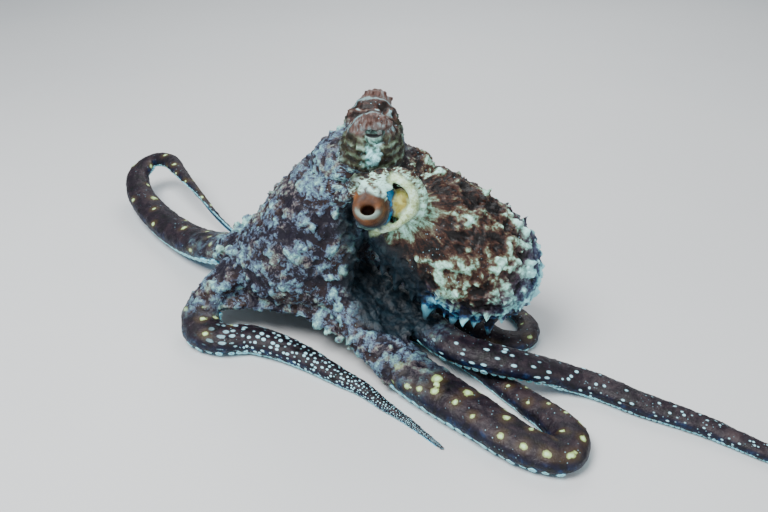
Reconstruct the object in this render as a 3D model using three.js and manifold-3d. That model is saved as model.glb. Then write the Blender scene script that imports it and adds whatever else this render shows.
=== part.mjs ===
// A reef octopus at life size, resting on a floor: head raised, mantle sagging behind it,
// eight arms spread and curled. Millimetres, +Z up; it faces -X and its left side faces -Y.
// The sizes are in a working frame whose floor is Z = 0. The finished group is moved, so that
// the origin is under the middle of its bounding box.
import * as THREE from "three";
import { mergeVertices } from "three/addons/utils/BufferGeometryUtils.js";
import Module from "manifold-3d";

const wasm = await Module();
wasm.setup();
const { lerp, smoothstep, clamp, degToRad, radToDeg } = THREE.MathUtils;

// ---------------------------------------------------------------- driving sizes
const gap = 0.3; // clearance between neighbouring pieces

// Arms: half-width at the thick end, how fast the arm tapers, distances at which it is parted,
// how far the web reaches along it, and its route as [x, y, height of the underside].
const arms = {
  arm_left_1: {
    wide: 20, power: 1.3, cuts: [165, 320], webbed: 118,
    route: [[-48, 30, 64], [-72, 50, 48], [-98, 72, 30], [-122, 89, 15], [-147, 110, 7], [-170, 134, 3],
      [-194, 162, 3], [-213, 187, 7], [-227, 213, 12], [-230, 235, 19], [-218, 247, 26],
      [-202, 237, 31], [-189, 215, 33], [-175, 192, 32], [-160, 171, 28], [-147, 158, 19],
      [-132, 149, 8], [-114, 143, 0]],
  },
  arm_left_2: {
    wide: 19.5, power: 1.45, cuts: [112, 210], webbed: 106,
    route: [[-46, 26, 64], [-74, 28, 50], [-100, 28, 34], [-119, 26, 17], [-131, 14, 4], [-128, -2, 0],
      [-114, -10, 0], [-94, -9, 0], [-72, -18, 0], [-50, -32, 0], [-30, -48, 0], [-14, -60, 0],
      [0, -75, 0], [16, -91, 0], [37, -115, 0]],
  },
  arm_left_3: {
    wide: 20.5, power: 1.1, cuts: [180, 310], webbed: 118,
    route: [[-42, 18, 58], [-36, 4, 38], [-21, -8, 20], [-1, -30, 5], [27, -62, 0], [58, -94, 0],
      [86, -121, 0], [104, -127, 0], [112, -113, 0], [105, -95, 0], [94, -80, 0], [82, -64, 0],
      [69, -47, 0], [54, -29, 0], [36, -12, 0], [18, 1, 0], [2, 6, 0]],
  },
  arm_left_4: {
    wide: 15.5, power: 1.3, cuts: [150, 290], webbed: 100,
    route: [[-34, 22, 56], [-16, 17, 38], [6, 8, 22], [30, -13, 13], [48, -37, 13.5], [70, -51, 14.5],
      [92, -56, 12], [114, -54, 4], [135, -58, 0], [163, -77, 0], [196, -96, 0], [229, -121, 0],
      [260, -142, 0], [290, -148, 0], [315, -134, 0], [318, -112, 0]],
  },
  arm_right_4: {
    wide: 16.5, power: 1.3, cuts: [120, 220], webbed: 100,
    route: [[-32, 28, 56], [-12, 34, 38], [14, 40, 14], [38, 34, 0], [62, 12, 0], [80, -8, 0],
      [98, -8, 0], [105, 10, 0], [96, 32, 0], [76, 44, 0], [52, 48, 0], [36, 62, 0]],
  },
  arm_right_3: {
    wide: 17.5, power: 1.3, cuts: [130, 240], webbed: 106,
    route: [[-36, 34, 58], [-18, 52, 38], [4, 74, 12], [32, 92, 0], [64, 97, 0], [92, 84, 0],
      [111, 95, 0], [110, 120, 0], [93, 138, 0], [96, 164, 0], [104, 190, 0], [94, 212, 0],
      [104, 226, 0]],
  },
  arm_right_2: {
    wide: 18, power: 1.3, cuts: [140, 270], webbed: 110,
    route: [[-44, 38, 60], [-36, 64, 40], [-22, 94, 12], [-6, 124, 0], [8, 156, 0], [4, 190, 0],
      [14, 220, 0], [40, 234, 0], [64, 222, 0], [68, 200, 0], [50, 187, 0], [35, 197, 0]],
  },
  arm_right_1: {
    wide: 18.5, power: 1.3, cuts: [140, 270], webbed: 112,
    route: [[-52, 36, 62], [-62, 62, 42], [-66, 94, 12], [-58, 128, 0], [-60, 162, 0], [-76, 192, 0],
      [-72, 224, 0], [-46, 240, 0], [-20, 228, 0], [-18, 204, 0], [-36, 192, 0], [-50, 204, 0]],
  },
};
const armSection = [[0.6, 0], [0.97, 0.26], [0.92, 0.66], [0.42, 0.98], [-0.42, 0.98], [-0.92, 0.66],
  [-0.97, 0.26], [-0.6, 0]]; // across and up, as shares of the half-width and the height
const armHeight = { thick: 1.22, tip: 1.6 }; // height of the section over its half-width
const armTaper = { fullness: 1.8, tip: 1.3 };
const rootNarrowing = { share: 0.78, over: 70 }; // arms are squeezed together where they leave the crown
const armStep = { bend: 20, longest: 25 }; // degrees of bend, or millimetres, between two rings

// Web between two arms: a sheet from the crown out to a free edge that dips inward and arches off the floor.
const web = { thickness: 4.5, rows: 4, columns: 5, level: 0.46, dip: 0.16, arch: 8 };

// Crown, where the arms join the head, as rows of [height, centre x, centre y, radius x,
// radius y, lobe]: the lobes run out along the arms.
const crownRows = [[30, -58, 28, 38, 32, 12], [38, -59, 28, 43, 37, 14], [56, -57, 27, 44, 39, 9],
  [76, -51, 26, 44, 39, 4], [95, -42, 25, 42, 37, 0], [112, -34, 25, 37, 34, 0],
  [126, -27, 24, 31, 30, 0]];
const lobes = { width: 20, directions: [132, 176, -46, -18, 10, 38, 64, 100] };
const crownSides = 30;

const head = { centre: [-15, 23, 127], radii: [35, 30, 27] };
const turret = {
  foot: [-8, 23, 132], lean: 9, spread: 12,
  outline: [[0, 23], [10, 21.5], [20, 18.5], [29, 14.5], [35, 9.5], [38, 4]],
};
const eye = { radius: 9.6, out: 21, high: 158.5, forward: -6.5 };

// Mantle: rings along a curve, as [share of the length, radius].
const mantle = {
  start: [9, 15, 111], handle: [40, 5, 72], end: [103, -8, 50], sides: 20, sag: 0.96,
  rings: [[0, 24], [0.02, 31], [0.07, 36], [0.18, 40], [0.34, 42.5], [0.52, 43], [0.68, 41], [0.82, 36],
    [0.92, 27], [0.98, 16], [1, 6]],
};
const aperture = { centre: [9, -27, 122], radii: [9, 14, 11] };
const lip = {
  radius: 3.8, sides: 6, steps: 14,
  route: [[2, -24, 137], [10, -28, 139], [17, -31, 133], [18, -32, 123], [12, -32, 115], [5, -30, 109],
    [0, -26, 99]],
};
const funnelBase = { centre: [11, -21, 121], radii: [6.5, 8, 9.5] };
const funnel = {
  root: [-7, -6, 105], end: [-10, -41, 129], sides: 12,
  outline: [[0, 9], [0.12, 12], [0.7, 11], [0.9, 9.5], [1, 7]],
  hole: [4.6, 3.1], holeDepth: 12, holeDrop: 3, holeSides: 10,
};

// Large papillae on the mantle, as [share of the length, degrees round it, length]; 0 is the
// left side, 90 the back. Those on the belly droop and point a little backwards.
const papillae = {
  sides: 5, slender: 0.42, sunk: 3, droop: 0.7, backward: 0.15,
  places: [[0.23, -56, 8], [0.32, -58, 9], [0.42, -56, 8], [0.5, -48, 12], [0.57, -6, 6], [0.65, -54, 9],
    [0.68, -33, 9], [0.75, -44, 7], [0.77, -16, 8], [0.83, -48, 9], [0.82, 4, 6], [0.9, 22, 6],
    [0.39, 60, 5], [0.42, 106, 6]],
};

// Facets across and down on the rounded pieces.
const facets = { ball: [18, 12], eye: [16, 10], pocket: [14, 10], base: [12, 8] };

// ---------------------------------------------------------------- solids
const vector = (p) => new THREE.Vector3(...p);

function solidOf(geometry) {
  for (const name of ["normal", "uv"]) geometry.deleteAttribute(name);
  const merged = mergeVertices(geometry, 1e-4);
  const solid = new wasm.Manifold(new wasm.Mesh({
    numProp: 3,
    vertProperties: merged.attributes.position.array,
    triVerts: new Uint32Array(merged.index.array),
  }));
  if (solid.volume() > 0) return solid;
  const flipped = [...merged.index.array];
  for (let i = 0; i < flipped.length; i += 3) [flipped[i], flipped[i + 1]] = [flipped[i + 1], flipped[i]];
  return solidOf(merged.setIndex(flipped));
}

function geometryOf(solid) {
  const mesh = solid.getMesh();
  return new THREE.BufferGeometry()
    .setAttribute("position", new THREE.BufferAttribute(mesh.vertProperties, 3))
    .setIndex(new THREE.BufferAttribute(mesh.triVerts, 1));
}

const largest = (solid) => solid.decompose().reduce((a, b) => (b.volume() > a.volume() ? b : a));
const cutBy = (solid, cutters) => largest(cutters.reduce((rest, cutter) => rest.subtract(cutter), solid));

// Quads between two rows of points; closed means that the last point joins the first.
function bridge(faces, low, high, count, closed) {
  for (let i = 0; i < (closed ? count : count - 1); i++) {
    const j = (i + 1) % count;
    faces.push(low + i, low + j, high + j, low + i, high + j, high + i);
  }
}

// A closed skin over rings of equally many points, with a fan over the first and the last.
function loft(rings) {
  const sides = rings[0].length;
  const points = rings.flat();
  const faces = [];
  for (let r = 0; r + 1 < rings.length; r++) bridge(faces, r * sides, (r + 1) * sides, sides, true);
  for (const [r, turned] of [[0, true], [rings.length - 1, false]]) {
    const middle = points.length;
    points.push(rings[r].reduce((sum, p) => sum.add(p), new THREE.Vector3()).divideScalar(sides));
    for (let i = 0; i < sides; i++) {
      const [a, b] = [r * sides + i, r * sides + ((i + 1) % sides)];
      faces.push(middle, ...(turned ? [b, a] : [a, b]));
    }
  }
  return solidOf(new THREE.BufferGeometry().setFromPoints(points).setIndex(faces));
}

function ellipsoid(centre, radii, grow = 0, cut = facets.ball) {
  const geometry = new THREE.SphereGeometry(1, ...cut);
  geometry.rotateX(Math.PI / 2);
  geometry.scale(...radii.map((r) => r + grow));
  return solidOf(geometry.translate(...centre));
}

// A body turned about +Z from [height, radius] pairs, then leaned and put in place.
function turned(outline, grow, place, segments = 14) {
  const profile = outline.map(([height, radius]) => new THREE.Vector2(radius + grow, height));
  profile[0].y -= grow;
  profile.at(-1).y += grow;
  const closed = [new THREE.Vector2(0, profile[0].y), ...profile, new THREE.Vector2(0, profile.at(-1).y)];
  return solidOf(new THREE.LatheGeometry(closed, segments).rotateX(Math.PI / 2).applyMatrix4(place));
}

// ---------------------------------------------------------------- arms
for (const arm of Object.values(arms)) {
  arm.curve = new THREE.CatmullRomCurve3(arm.route.map(vector), false, "centripetal");
  arm.curve.arcLengthDivisions = 600;
  arm.length = arm.curve.getLength();
}

function halfWidth(arm, distance) {
  const t = clamp(distance / arm.length, 0, 1);
  const squeezed = lerp(rootNarrowing.share, 1, smoothstep(distance, 0, rootNarrowing.over));
  return (arm.wide - armTaper.tip) * (1 - t ** armTaper.fullness) ** arm.power * squeezed + armTaper.tip;
}

function sectionHeight(arm, distance) {
  return halfWidth(arm, distance) * lerp(armHeight.thick, armHeight.tip, (distance / arm.length) ** 2);
}

function frameAt(arm, distance) {
  const share = clamp(distance / arm.length, 0, 1);
  const base = arm.curve.getPointAt(share);
  const ahead = arm.curve.getTangentAt(share);
  if (base.z <= 0.01) ahead.z = 0;
  base.z = Math.max(0, base.z);
  const side = new THREE.Vector3(ahead.y, -ahead.x, 0).normalize();
  return { base, side, up: new THREE.Vector3().crossVectors(side, ahead).normalize() };
}

function armRing(arm, distance, grow) {
  const { base, side, up } = frameAt(arm, distance);
  const width = halfWidth(arm, distance) + grow;
  const height = sectionHeight(arm, distance) + 2 * grow;
  return armSection.map(([across, rise]) => base.clone()
    .addScaledVector(side, across * width)
    .addScaledVector(up, rise * height - grow));
}

// Rings lie closer together where the arm turns.
function ringDistances(arm, from, to) {
  const walk = 2;
  const stops = [from];
  let bend = 0;
  const headingAt = (distance) => arm.curve.getTangentAt(distance / arm.length);
  for (let d = from + walk; d < to - 3 * walk; d += walk) {
    bend += radToDeg(headingAt(d).angleTo(headingAt(d - walk)));
    if (bend < armStep.bend && d - stops.at(-1) < armStep.longest) continue;
    stops.push(d);
    bend = 0;
  }
  return [...stops, to];
}

function armSolid(arm, from = 0, to = arm.length, grow = 0) {
  return loft(ringDistances(arm, from, to).map((d) => armRing(arm, d, grow)));
}

// ---------------------------------------------------------------- web
function webLine(arm, share) {
  const distance = share * arm.webbed;
  const { base, up } = frameAt(arm, distance);
  return base.addScaledVector(up, web.level * sectionHeight(arm, distance));
}

function webSolid(first, second, grow = 0) {
  const middle = [];
  for (let r = 0; r <= web.rows; r++)
    for (let k = 0; k <= web.columns; k++) {
      const across = k / web.columns;
      const bow = 4 * across * (1 - across);
      const share = (r / web.rows) * (1 - web.dip * bow);
      const point = webLine(first, share).lerp(webLine(second, share), across);
      point.z += web.arch * bow * (r / web.rows);
      middle.push(point);
    }
  const row = web.columns + 1;
  const at = (r, k) => middle[clamp(r, 0, web.rows) * row + clamp(k, 0, web.columns)];
  const layer = (offset) => middle.map((point, i) => {
    const [r, k] = [Math.floor(i / row), i % row];
    const outward = at(r + 1, k).clone().sub(at(r - 1, k));
    const normal = outward.cross(at(r, k + 1).clone().sub(at(r, k - 1))).normalize();
    return point.clone().addScaledVector(normal, offset);
  });
  const half = web.thickness / 2 + grow;
  const points = [...layer(half), ...layer(-half)];
  const faces = [];
  const lower = middle.length;
  for (let r = 0; r < web.rows; r++)
    for (let k = 0; k < web.columns; k++) {
      const [a, b, c, d] = [r * row + k, r * row + k + 1, (r + 1) * row + k + 1, (r + 1) * row + k];
      faces.push(a, b, c, a, c, d, lower + a, lower + c, lower + b, lower + a, lower + d, lower + c);
    }
  const rim = [];
  for (let k = 0; k < web.columns; k++) rim.push(k);
  for (let r = 0; r < web.rows; r++) rim.push(r * row + web.columns);
  for (let k = web.columns; k > 0; k--) rim.push(web.rows * row + k);
  for (let r = web.rows; r > 0; r--) rim.push(r * row);
  rim.forEach((a, i) => {
    const b = rim[(i + 1) % rim.length];
    faces.push(b, a, lower + a, b, lower + a, lower + b);
  });
  return solidOf(new THREE.BufferGeometry().setFromPoints(points).setIndex(faces));
}

// ---------------------------------------------------------------- head, crown, mantle
function lobeAt(degrees) {
  const apart = (direction) => ((degrees - direction + 540) % 360) - 180;
  return Math.max(...lobes.directions.map((direction) => Math.exp(-((apart(direction) / lobes.width) ** 2))));
}

function crownSolid(grow = 0) {
  return loft(crownRows.map(([z, x, y, rx, ry, lobe], row) => Array.from({ length: crownSides }, (_, i) => {
    const a = (i / crownSides) * 2 * Math.PI;
    const more = grow + lobe * lobeAt(radToDeg(a));
    const end = row === 0 ? -grow : row === crownRows.length - 1 ? grow : 0;
    return new THREE.Vector3(x + (rx + more) * Math.cos(a), y + (ry + more) * Math.sin(a), z + end);
  })));
}

function turretSolid(side, grow = 0) {
  const [x, y, z] = turret.foot;
  const place = new THREE.Matrix4().makeTranslation(x, y + side * turret.spread, z)
    .multiply(new THREE.Matrix4().makeRotationX(-side * degToRad(turret.lean)));
  return turned(turret.outline, grow, place);
}

function eyeSolid(side, grow = 0) {
  const centre = [eye.forward, turret.foot[1] + side * eye.out, eye.high];
  return ellipsoid(centre, [eye.radius, eye.radius, eye.radius], grow, facets.eye);
}

const mantleLine = new THREE.QuadraticBezierCurve3(
  ...[mantle.start, mantle.handle, mantle.end].map(vector),
);

function mantlePoint(share, degrees, radius) {
  const ahead = mantleLine.getTangentAt(share);
  const side = new THREE.Vector3(ahead.y, -ahead.x, 0).normalize();
  const up = new THREE.Vector3().crossVectors(side, ahead);
  const a = degToRad(degrees);
  const out = side.multiplyScalar(Math.cos(a)).addScaledVector(up, mantle.sag * Math.sin(a));
  return { point: mantleLine.getPointAt(share).addScaledVector(out, radius), out: out.normalize() };
}

function mantleRadius(share) {
  const next = mantle.rings.findIndex(([at]) => at >= share);
  if (next < 1) return mantle.rings[0][1];
  const [[a, ra], [b, rb]] = [mantle.rings[next - 1], mantle.rings[next]];
  return lerp(ra, rb, (share - a) / (b - a));
}

function mantleSac(grow = 0) {
  return loft(mantle.rings.map(([share, radius], row) => Array.from({ length: mantle.sides }, (_, k) => {
    const { point } = mantlePoint(share, (k / mantle.sides) * 360, radius + grow);
    const end = row === 0 ? -grow : row === mantle.rings.length - 1 ? grow : 0;
    return point.addScaledVector(mantleLine.getTangentAt(share), end);
  })));
}

function papilla([share, degrees, length], grow = 0) {
  const { point, out } = mantlePoint(share, degrees, mantleRadius(share) - papillae.sunk);
  if (degrees < 0) out.add(new THREE.Vector3(papillae.backward, 0, -papillae.droop)).normalize();
  const full = length + papillae.sunk;
  const cone = new THREE.ConeGeometry(full * papillae.slender + 2 * grow, full + 4 * grow, papillae.sides);
  cone.translate(0, full / 2, 0);
  const turn = new THREE.Quaternion().setFromUnitVectors(new THREE.Vector3(0, 1, 0), out);
  return solidOf(cone.applyQuaternion(turn).translate(...point));
}

function lipSolid(grow = 0) {
  const curve = new THREE.CatmullRomCurve3(lip.route.map(vector));
  return loft(Array.from({ length: lip.steps + 1 }, (_, i) => {
    const ahead = curve.getTangentAt(i / lip.steps);
    const side = new THREE.Vector3(0, 1, 0).cross(ahead).normalize();
    const out = new THREE.Vector3().crossVectors(ahead, side);
    return Array.from({ length: lip.sides }, (_, k) => {
      const a = (k / lip.sides) * 2 * Math.PI;
      return curve.getPointAt(i / lip.steps)
        .addScaledVector(side, (lip.radius + grow) * Math.cos(a))
        .addScaledVector(out, (lip.radius + grow) * Math.sin(a));
    });
  }));
}

function funnelPlace() {
  const along = vector(funnel.end).sub(vector(funnel.root));
  const upward = new THREE.Vector3(0, 0, 1);
  const turn = new THREE.Quaternion().setFromUnitVectors(upward, along.clone().normalize());
  const place = new THREE.Matrix4().compose(vector(funnel.root), turn, new THREE.Vector3(1, 1, 1));
  return { length: along.length(), place };
}

function funnelOuter(grow = 0) {
  const { length, place } = funnelPlace();
  return turned(funnel.outline.map(([share, radius]) => [share * length, radius]), grow, place, funnel.sides);
}

function funnelBore() {
  const { length, place } = funnelPlace();
  const bore = new THREE.CylinderGeometry(1, 1, 2 * funnel.holeDepth, funnel.holeSides).rotateX(Math.PI / 2);
  bore.scale(funnel.hole[0], funnel.hole[1], 1).translate(0, -funnel.holeDrop, length);
  return solidOf(bore.applyMatrix4(place));
}

// ---------------------------------------------------------------- putting it together
const skin = { color: 0x6b4038, roughness: 0.5 };
const octopus = new THREE.Group();
function addNode(name, solid, { color, roughness } = skin) {
  const finish = new THREE.MeshStandardMaterial({ color, roughness, metalness: 0 });
  const mesh = new THREE.Mesh(geometryOf(solid), finish);
  mesh.name = name;
  octopus.add(mesh);
}

const sides = { left: -1, right: 1 };
for (const [name, side] of Object.entries(sides)) {
  addNode(`eye_${name}`, eyeSolid(side), { color: 0x3a4438, roughness: 0.1 });
  addNode(`eye_turret_${name}`, cutBy(turretSolid(side), [eyeSolid(side, gap),
    ...(side > 0 ? [turretSolid(-side, gap), eyeSolid(-side, gap)] : [])]));
}
const turretsGrown = Object.values(sides).flatMap((side) => [turretSolid(side, gap), eyeSolid(side, gap)]);

addNode("funnel", cutBy(funnelOuter(), [funnelBore()]), { color: 0x9a5a30, roughness: 0.35 });
const pocket = (grow) => ellipsoid(aperture.centre, aperture.radii, grow, facets.pocket);
const withPapillae = (solid, grow) =>
  papillae.places.reduce((sum, place) => sum.add(papilla(place, grow)), solid);
const mantleWhole = withPapillae(mantleSac().subtract(pocket(0)).add(lipSolid()), 0);
addNode("mantle", cutBy(mantleWhole, [funnelOuter(gap), ...turretsGrown]));
const mantleGrown = withPapillae(mantleSac(gap).add(lipSolid(gap)), gap);
const base = (grow) => ellipsoid(funnelBase.centre, funnelBase.radii, grow, facets.base);
const roundBase = [mantleSac(gap).subtract(pocket(-gap)), lipSolid(gap), funnelOuter(gap)];
addNode("funnel_base", cutBy(base(0), roundBase), { color: 0xb08a3a, roughness: 0.35 });
const roundHead = [...turretsGrown, mantleGrown, funnelOuter(gap), base(gap)];
addNode("head", cutBy(ellipsoid(head.centre, head.radii), roundHead));
const headGrown = ellipsoid(head.centre, head.radii, gap);
addNode("crown", cutBy(crownSolid(), [headGrown, ...roundHead]));

const body = [crownSolid(gap), headGrown, mantleGrown, funnelOuter(gap)];
const order = Object.keys(arms);
const grown = order.map((name) => armSolid(arms[name], 0, arms[name].length, gap));
order.forEach((name, i) => {
  const arm = arms[name];
  const stops = [0, ...arm.cuts, arm.length];
  const length = (k, grow) => armSolid(arm, stops[k] + (k > 0 ? gap / 2 : 0),
    stops[k + 1] - (k < 2 ? gap / 2 : 0), grow);
  addNode(`${name}_root`, cutBy(length(0, 0), [...body, ...grown.slice(0, i)]));
  addNode(`${name}_middle`, cutBy(length(1, 0), [length(0, gap), ...grown.slice(0, i)]));
  addNode(`${name}_tip`, cutBy(length(2, 0), [length(1, gap), length(0, gap), ...grown.slice(0, i)]));
});

const panels = order.map((name, i) => [name, order[(i + 1) % order.length]]);
panels.forEach(([first, second], i) => {
  const earlier = panels.slice(0, i).map(([a, b]) => webSolid(arms[a], arms[b], gap));
  const name = `web_${first.slice(4)}_to_${second.slice(4)}`;
  addNode(name, cutBy(webSolid(arms[first], arms[second]), [...body, ...grown, ...earlier]));
});

const box = new THREE.Box3().setFromObject(octopus);
octopus.position.set(-(box.min.x + box.max.x) / 2, -(box.min.y + box.max.y) / 2, -box.min.z);

export default octopus;
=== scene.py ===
import bpy
import math
import numpy as np
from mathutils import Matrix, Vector


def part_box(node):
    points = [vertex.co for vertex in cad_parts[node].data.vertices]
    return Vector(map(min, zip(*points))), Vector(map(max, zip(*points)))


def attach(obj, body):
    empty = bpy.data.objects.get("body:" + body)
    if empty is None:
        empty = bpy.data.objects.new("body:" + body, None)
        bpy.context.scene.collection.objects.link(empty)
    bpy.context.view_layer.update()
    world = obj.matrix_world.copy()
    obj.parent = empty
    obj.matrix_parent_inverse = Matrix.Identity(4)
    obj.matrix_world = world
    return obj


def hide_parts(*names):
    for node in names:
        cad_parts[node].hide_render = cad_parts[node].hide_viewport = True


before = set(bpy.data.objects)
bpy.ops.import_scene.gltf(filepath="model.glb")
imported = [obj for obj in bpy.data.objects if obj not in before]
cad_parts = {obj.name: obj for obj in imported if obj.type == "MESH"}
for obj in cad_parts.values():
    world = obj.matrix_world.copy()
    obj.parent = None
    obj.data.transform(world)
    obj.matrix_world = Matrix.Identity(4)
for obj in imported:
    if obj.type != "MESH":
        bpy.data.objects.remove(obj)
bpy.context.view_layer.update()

# Lengths below are working millimetres with the floor at z = 0; place() turns them into the model's metres.
# The head end faces -X and the animal's left side faces -Y.
eyes = dict(radius=9.6, forward=-6.5, high=158.5, out=21.0, midline=23.0, gape=(6.4, 5.2, -3.4))
eyeLow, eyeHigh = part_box("eye_left")
eyeMiddle = np.array([eyes["forward"], eyes["midline"] - eyes["out"], eyes["high"]])
shift = np.array((eyeLow + eyeHigh) / 2) * 1000 - eyeMiddle


def place(points):
    return (np.asarray(points, float) + shift) / 1000


def mix(a, b, t):
    return a + (b - a) * t


def ease(x, low, high):
    t = np.clip((np.asarray(x, float) - low) / (high - low), 0, 1)
    return t * t * (3 - 2 * t)


def unit(v):
    return v / np.maximum(np.linalg.norm(v, axis=-1, keepdims=True), 1e-9)


def swirl(points, size, octaves=1, seed=0):
    # smooth noise from about -1 to 1 with lumps about as wide as size, each octave half as wide as the last
    rng = np.random.default_rng(seed)
    leans, order = unit(rng.normal(size=(256, 3))).astype(np.float32), rng.permutation(256)
    total, strength = np.zeros(len(points), np.float32), 1.7
    for octave in range(octaves):
        p = (points / size * 2 ** octave + 31.7 * octave + 200).astype(np.float32)
        cell = np.floor(p)
        inside = p - cell
        x, y, z = cell.astype(np.int32).T & 255
        fx, fy, fz = (inside ** 3 * (inside * (inside * 6 - 15) + 10)).T
        ix, iy, iz = inside.T
        sheet = []
        for dx in (0, 1):
            for dy in (0, 1):
                row = order[(order[(x + dx) & 255] + y + dy) & 255]
                ends = []
                for dz in (0, 1):
                    lean = leans[order[(row + z + dz) & 255]]
                    ends.append((ix - dx) * lean[:, 0] + (iy - dy) * lean[:, 1] + (iz - dz) * lean[:, 2])
                sheet.append(ends[0] + (ends[1] - ends[0]) * fz)
        low, high = sheet[0] + (sheet[1] - sheet[0]) * fy, sheet[2] + (sheet[3] - sheet[2]) * fy
        total += strength * (low + (high - low) * fx)
        strength *= 0.5
    return total.astype(float)


def nearest(points, centres, chunk=16000):
    found = np.empty(len(points), int)
    c = centres.astype(np.float32)
    own = (c ** 2).sum(1)
    for k in range(0, len(points), chunk):
        found[k:k + chunk] = (own - 2 * points[k:k + chunk].astype(np.float32) @ c.T).argmin(1)
    return found, np.linalg.norm(points - centres[found], axis=1)


# Arms
# Half-width at the root, taper, reach of the web, roll of the last stretch in degrees, and the route that
# the underside follows.
arms = {
    "arm_left_1": dict(wide=20, power=1.3, webbed=118, roll=(330, 470, 95), route=[
        (-48, 30, 64), (-72, 50, 48), (-98, 72, 30), (-122, 89, 15), (-147, 110, 7), (-170, 134, 3),
        (-194, 162, 3), (-213, 187, 7), (-227, 213, 12), (-230, 235, 19), (-218, 247, 26), (-202, 237, 31),
        (-189, 215, 33), (-175, 192, 32), (-160, 171, 28), (-147, 158, 19), (-132, 149, 8), (-114, 143, 0)]),
    "arm_left_2": dict(wide=19.5, power=1.45, webbed=106, roll=None, route=[
        (-46, 26, 64), (-74, 28, 50), (-100, 28, 34), (-119, 26, 17), (-131, 14, 4), (-128, -2, 0),
        (-114, -10, 0), (-94, -9, 0), (-72, -18, 0), (-50, -32, 0), (-30, -48, 0), (-14, -60, 0),
        (0, -75, 0), (16, -91, 0), (37, -115, 0)]),
    "arm_left_3": dict(wide=20.5, power=1.1, webbed=118, roll=None, route=[
        (-42, 18, 58), (-36, 4, 38), (-21, -8, 20), (-1, -30, 5), (27, -62, 0), (58, -94, 0), (86, -121, 0),
        (104, -127, 0), (112, -113, 0), (105, -95, 0), (94, -80, 0), (82, -64, 0), (69, -47, 0),
        (54, -29, 0), (36, -12, 0), (18, 1, 0), (2, 6, 0)]),
    "arm_left_4": dict(wide=15.5, power=1.3, webbed=100, roll=None, route=[
        (-34, 22, 56), (-16, 17, 38), (6, 8, 22), (30, -13, 13), (48, -37, 13.5), (70, -51, 14.5),
        (92, -56, 12), (114, -54, 4), (135, -58, 0), (163, -77, 0), (196, -96, 0), (229, -121, 0),
        (260, -142, 0), (290, -148, 0), (315, -134, 0), (318, -112, 0)]),
    "arm_right_4": dict(wide=16.5, power=1.3, webbed=100, roll=None, route=[
        (-32, 28, 56), (-12, 34, 38), (14, 40, 14), (38, 34, 0), (62, 12, 0), (80, -8, 0), (98, -8, 0),
        (105, 10, 0), (96, 32, 0), (76, 44, 0), (52, 48, 0), (36, 62, 0)]),
    "arm_right_3": dict(wide=17.5, power=1.3, webbed=106, roll=None, route=[
        (-36, 34, 58), (-18, 52, 38), (4, 74, 12), (32, 92, 0), (64, 97, 0), (92, 84, 0), (111, 95, 0),
        (110, 120, 0), (93, 138, 0), (96, 164, 0), (104, 190, 0), (94, 212, 0), (104, 226, 0)]),
    "arm_right_2": dict(wide=18, power=1.3, webbed=110, roll=None, route=[
        (-44, 38, 60), (-36, 64, 40), (-22, 94, 12), (-6, 124, 0), (8, 156, 0), (4, 190, 0), (14, 220, 0),
        (40, 234, 0), (64, 222, 0), (68, 200, 0), (50, 187, 0), (35, 197, 0)]),
    "arm_right_1": dict(wide=18.5, power=1.3, webbed=112, roll=None, route=[
        (-52, 36, 62), (-62, 62, 42), (-66, 94, 12), (-58, 128, 0), (-60, 162, 0), (-76, 192, 0),
        (-72, 224, 0), (-46, 240, 0), (-20, 228, 0), (-18, 204, 0), (-36, 192, 0), (-50, 204, 0)]),
}
armForm = dict(thick=1.22, thin=1.6, fullness=1.8, tip=1.3, rootShare=0.78, rootOver=70, inside=0.985,
               level=0.46, back=0.5, belly=0.36, bellyFlat=0.7)


def throughPoints(points, perSpan=24):
    # centripetal Catmull-Rom through the points
    p = np.array(points, float)
    p = np.vstack([2 * p[0] - p[1], p, 2 * p[-1] - p[-2]])
    out = []
    for a, b, c, d in zip(p[:-3], p[1:-2], p[2:-1], p[3:]):
        da, db, dc = [max(np.linalg.norm(x) ** 0.5, 1e-4) for x in (b - a, c - b, d - c)]
        m1 = ((b - a) / da - (c - a) / (da + db) + (c - b) / db) * db
        m2 = ((c - b) / db - (d - b) / (db + dc) + (d - c) / dc) * db
        t = np.linspace(0, 1, perSpan, endpoint=False)[:, None]
        out.append(b + m1 * t + (3 * (c - b) - 2 * m1 - m2) * t ** 2 + (2 * (b - c) + m1 + m2) * t ** 3)
    out.append(p[-2][None])
    return np.vstack(out)


def alongLine(line, distances):
    steps = np.linalg.norm(np.diff(line, axis=0), axis=1)
    walked = np.concatenate([[0], np.cumsum(steps)])
    return np.stack([np.interp(distances, walked, line[:, k]) for k in range(3)], -1), walked[-1]


for arm in arms.values():
    arm["line"] = throughPoints(arm["route"])
    arm["length"] = alongLine(arm["line"], [0])[1]


def armHalfWidth(arm, s):
    t = np.clip(s / arm["length"], 0, 1)
    squeezed = mix(armForm["rootShare"], 1, ease(s, 0, armForm["rootOver"]))
    full = (1 - t ** armForm["fullness"]) ** arm["power"]
    return ((arm["wide"] - armForm["tip"]) * full * squeezed + armForm["tip"]) * armForm["inside"]


def armHeight(arm, s):
    return armHalfWidth(arm, s) * mix(armForm["thick"], armForm["thin"], (s / arm["length"]) ** 2)


def armFrame(arm, s):
    s = np.asarray(s, float)
    base = alongLine(arm["line"], s)[0]
    ahead = unit(alongLine(arm["line"], s + 3)[0] - alongLine(arm["line"], s - 3)[0])
    base[..., 2] = np.maximum(base[..., 2], 0)
    side = unit(np.stack([ahead[..., 1], -ahead[..., 0], 0 * s], -1))
    up = np.cross(side, ahead)
    high = armHeight(arm, s)[..., None]
    middle = base + up * high * armForm["level"]
    if arm["roll"]:
        start, end, degrees = arm["roll"]
        turn = np.radians(degrees) * ease(s, start, end)[..., None]
        side, up = side * np.cos(turn) + up * np.sin(turn), up * np.cos(turn) - side * np.sin(turn)
    return middle, ahead, side, up


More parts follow.
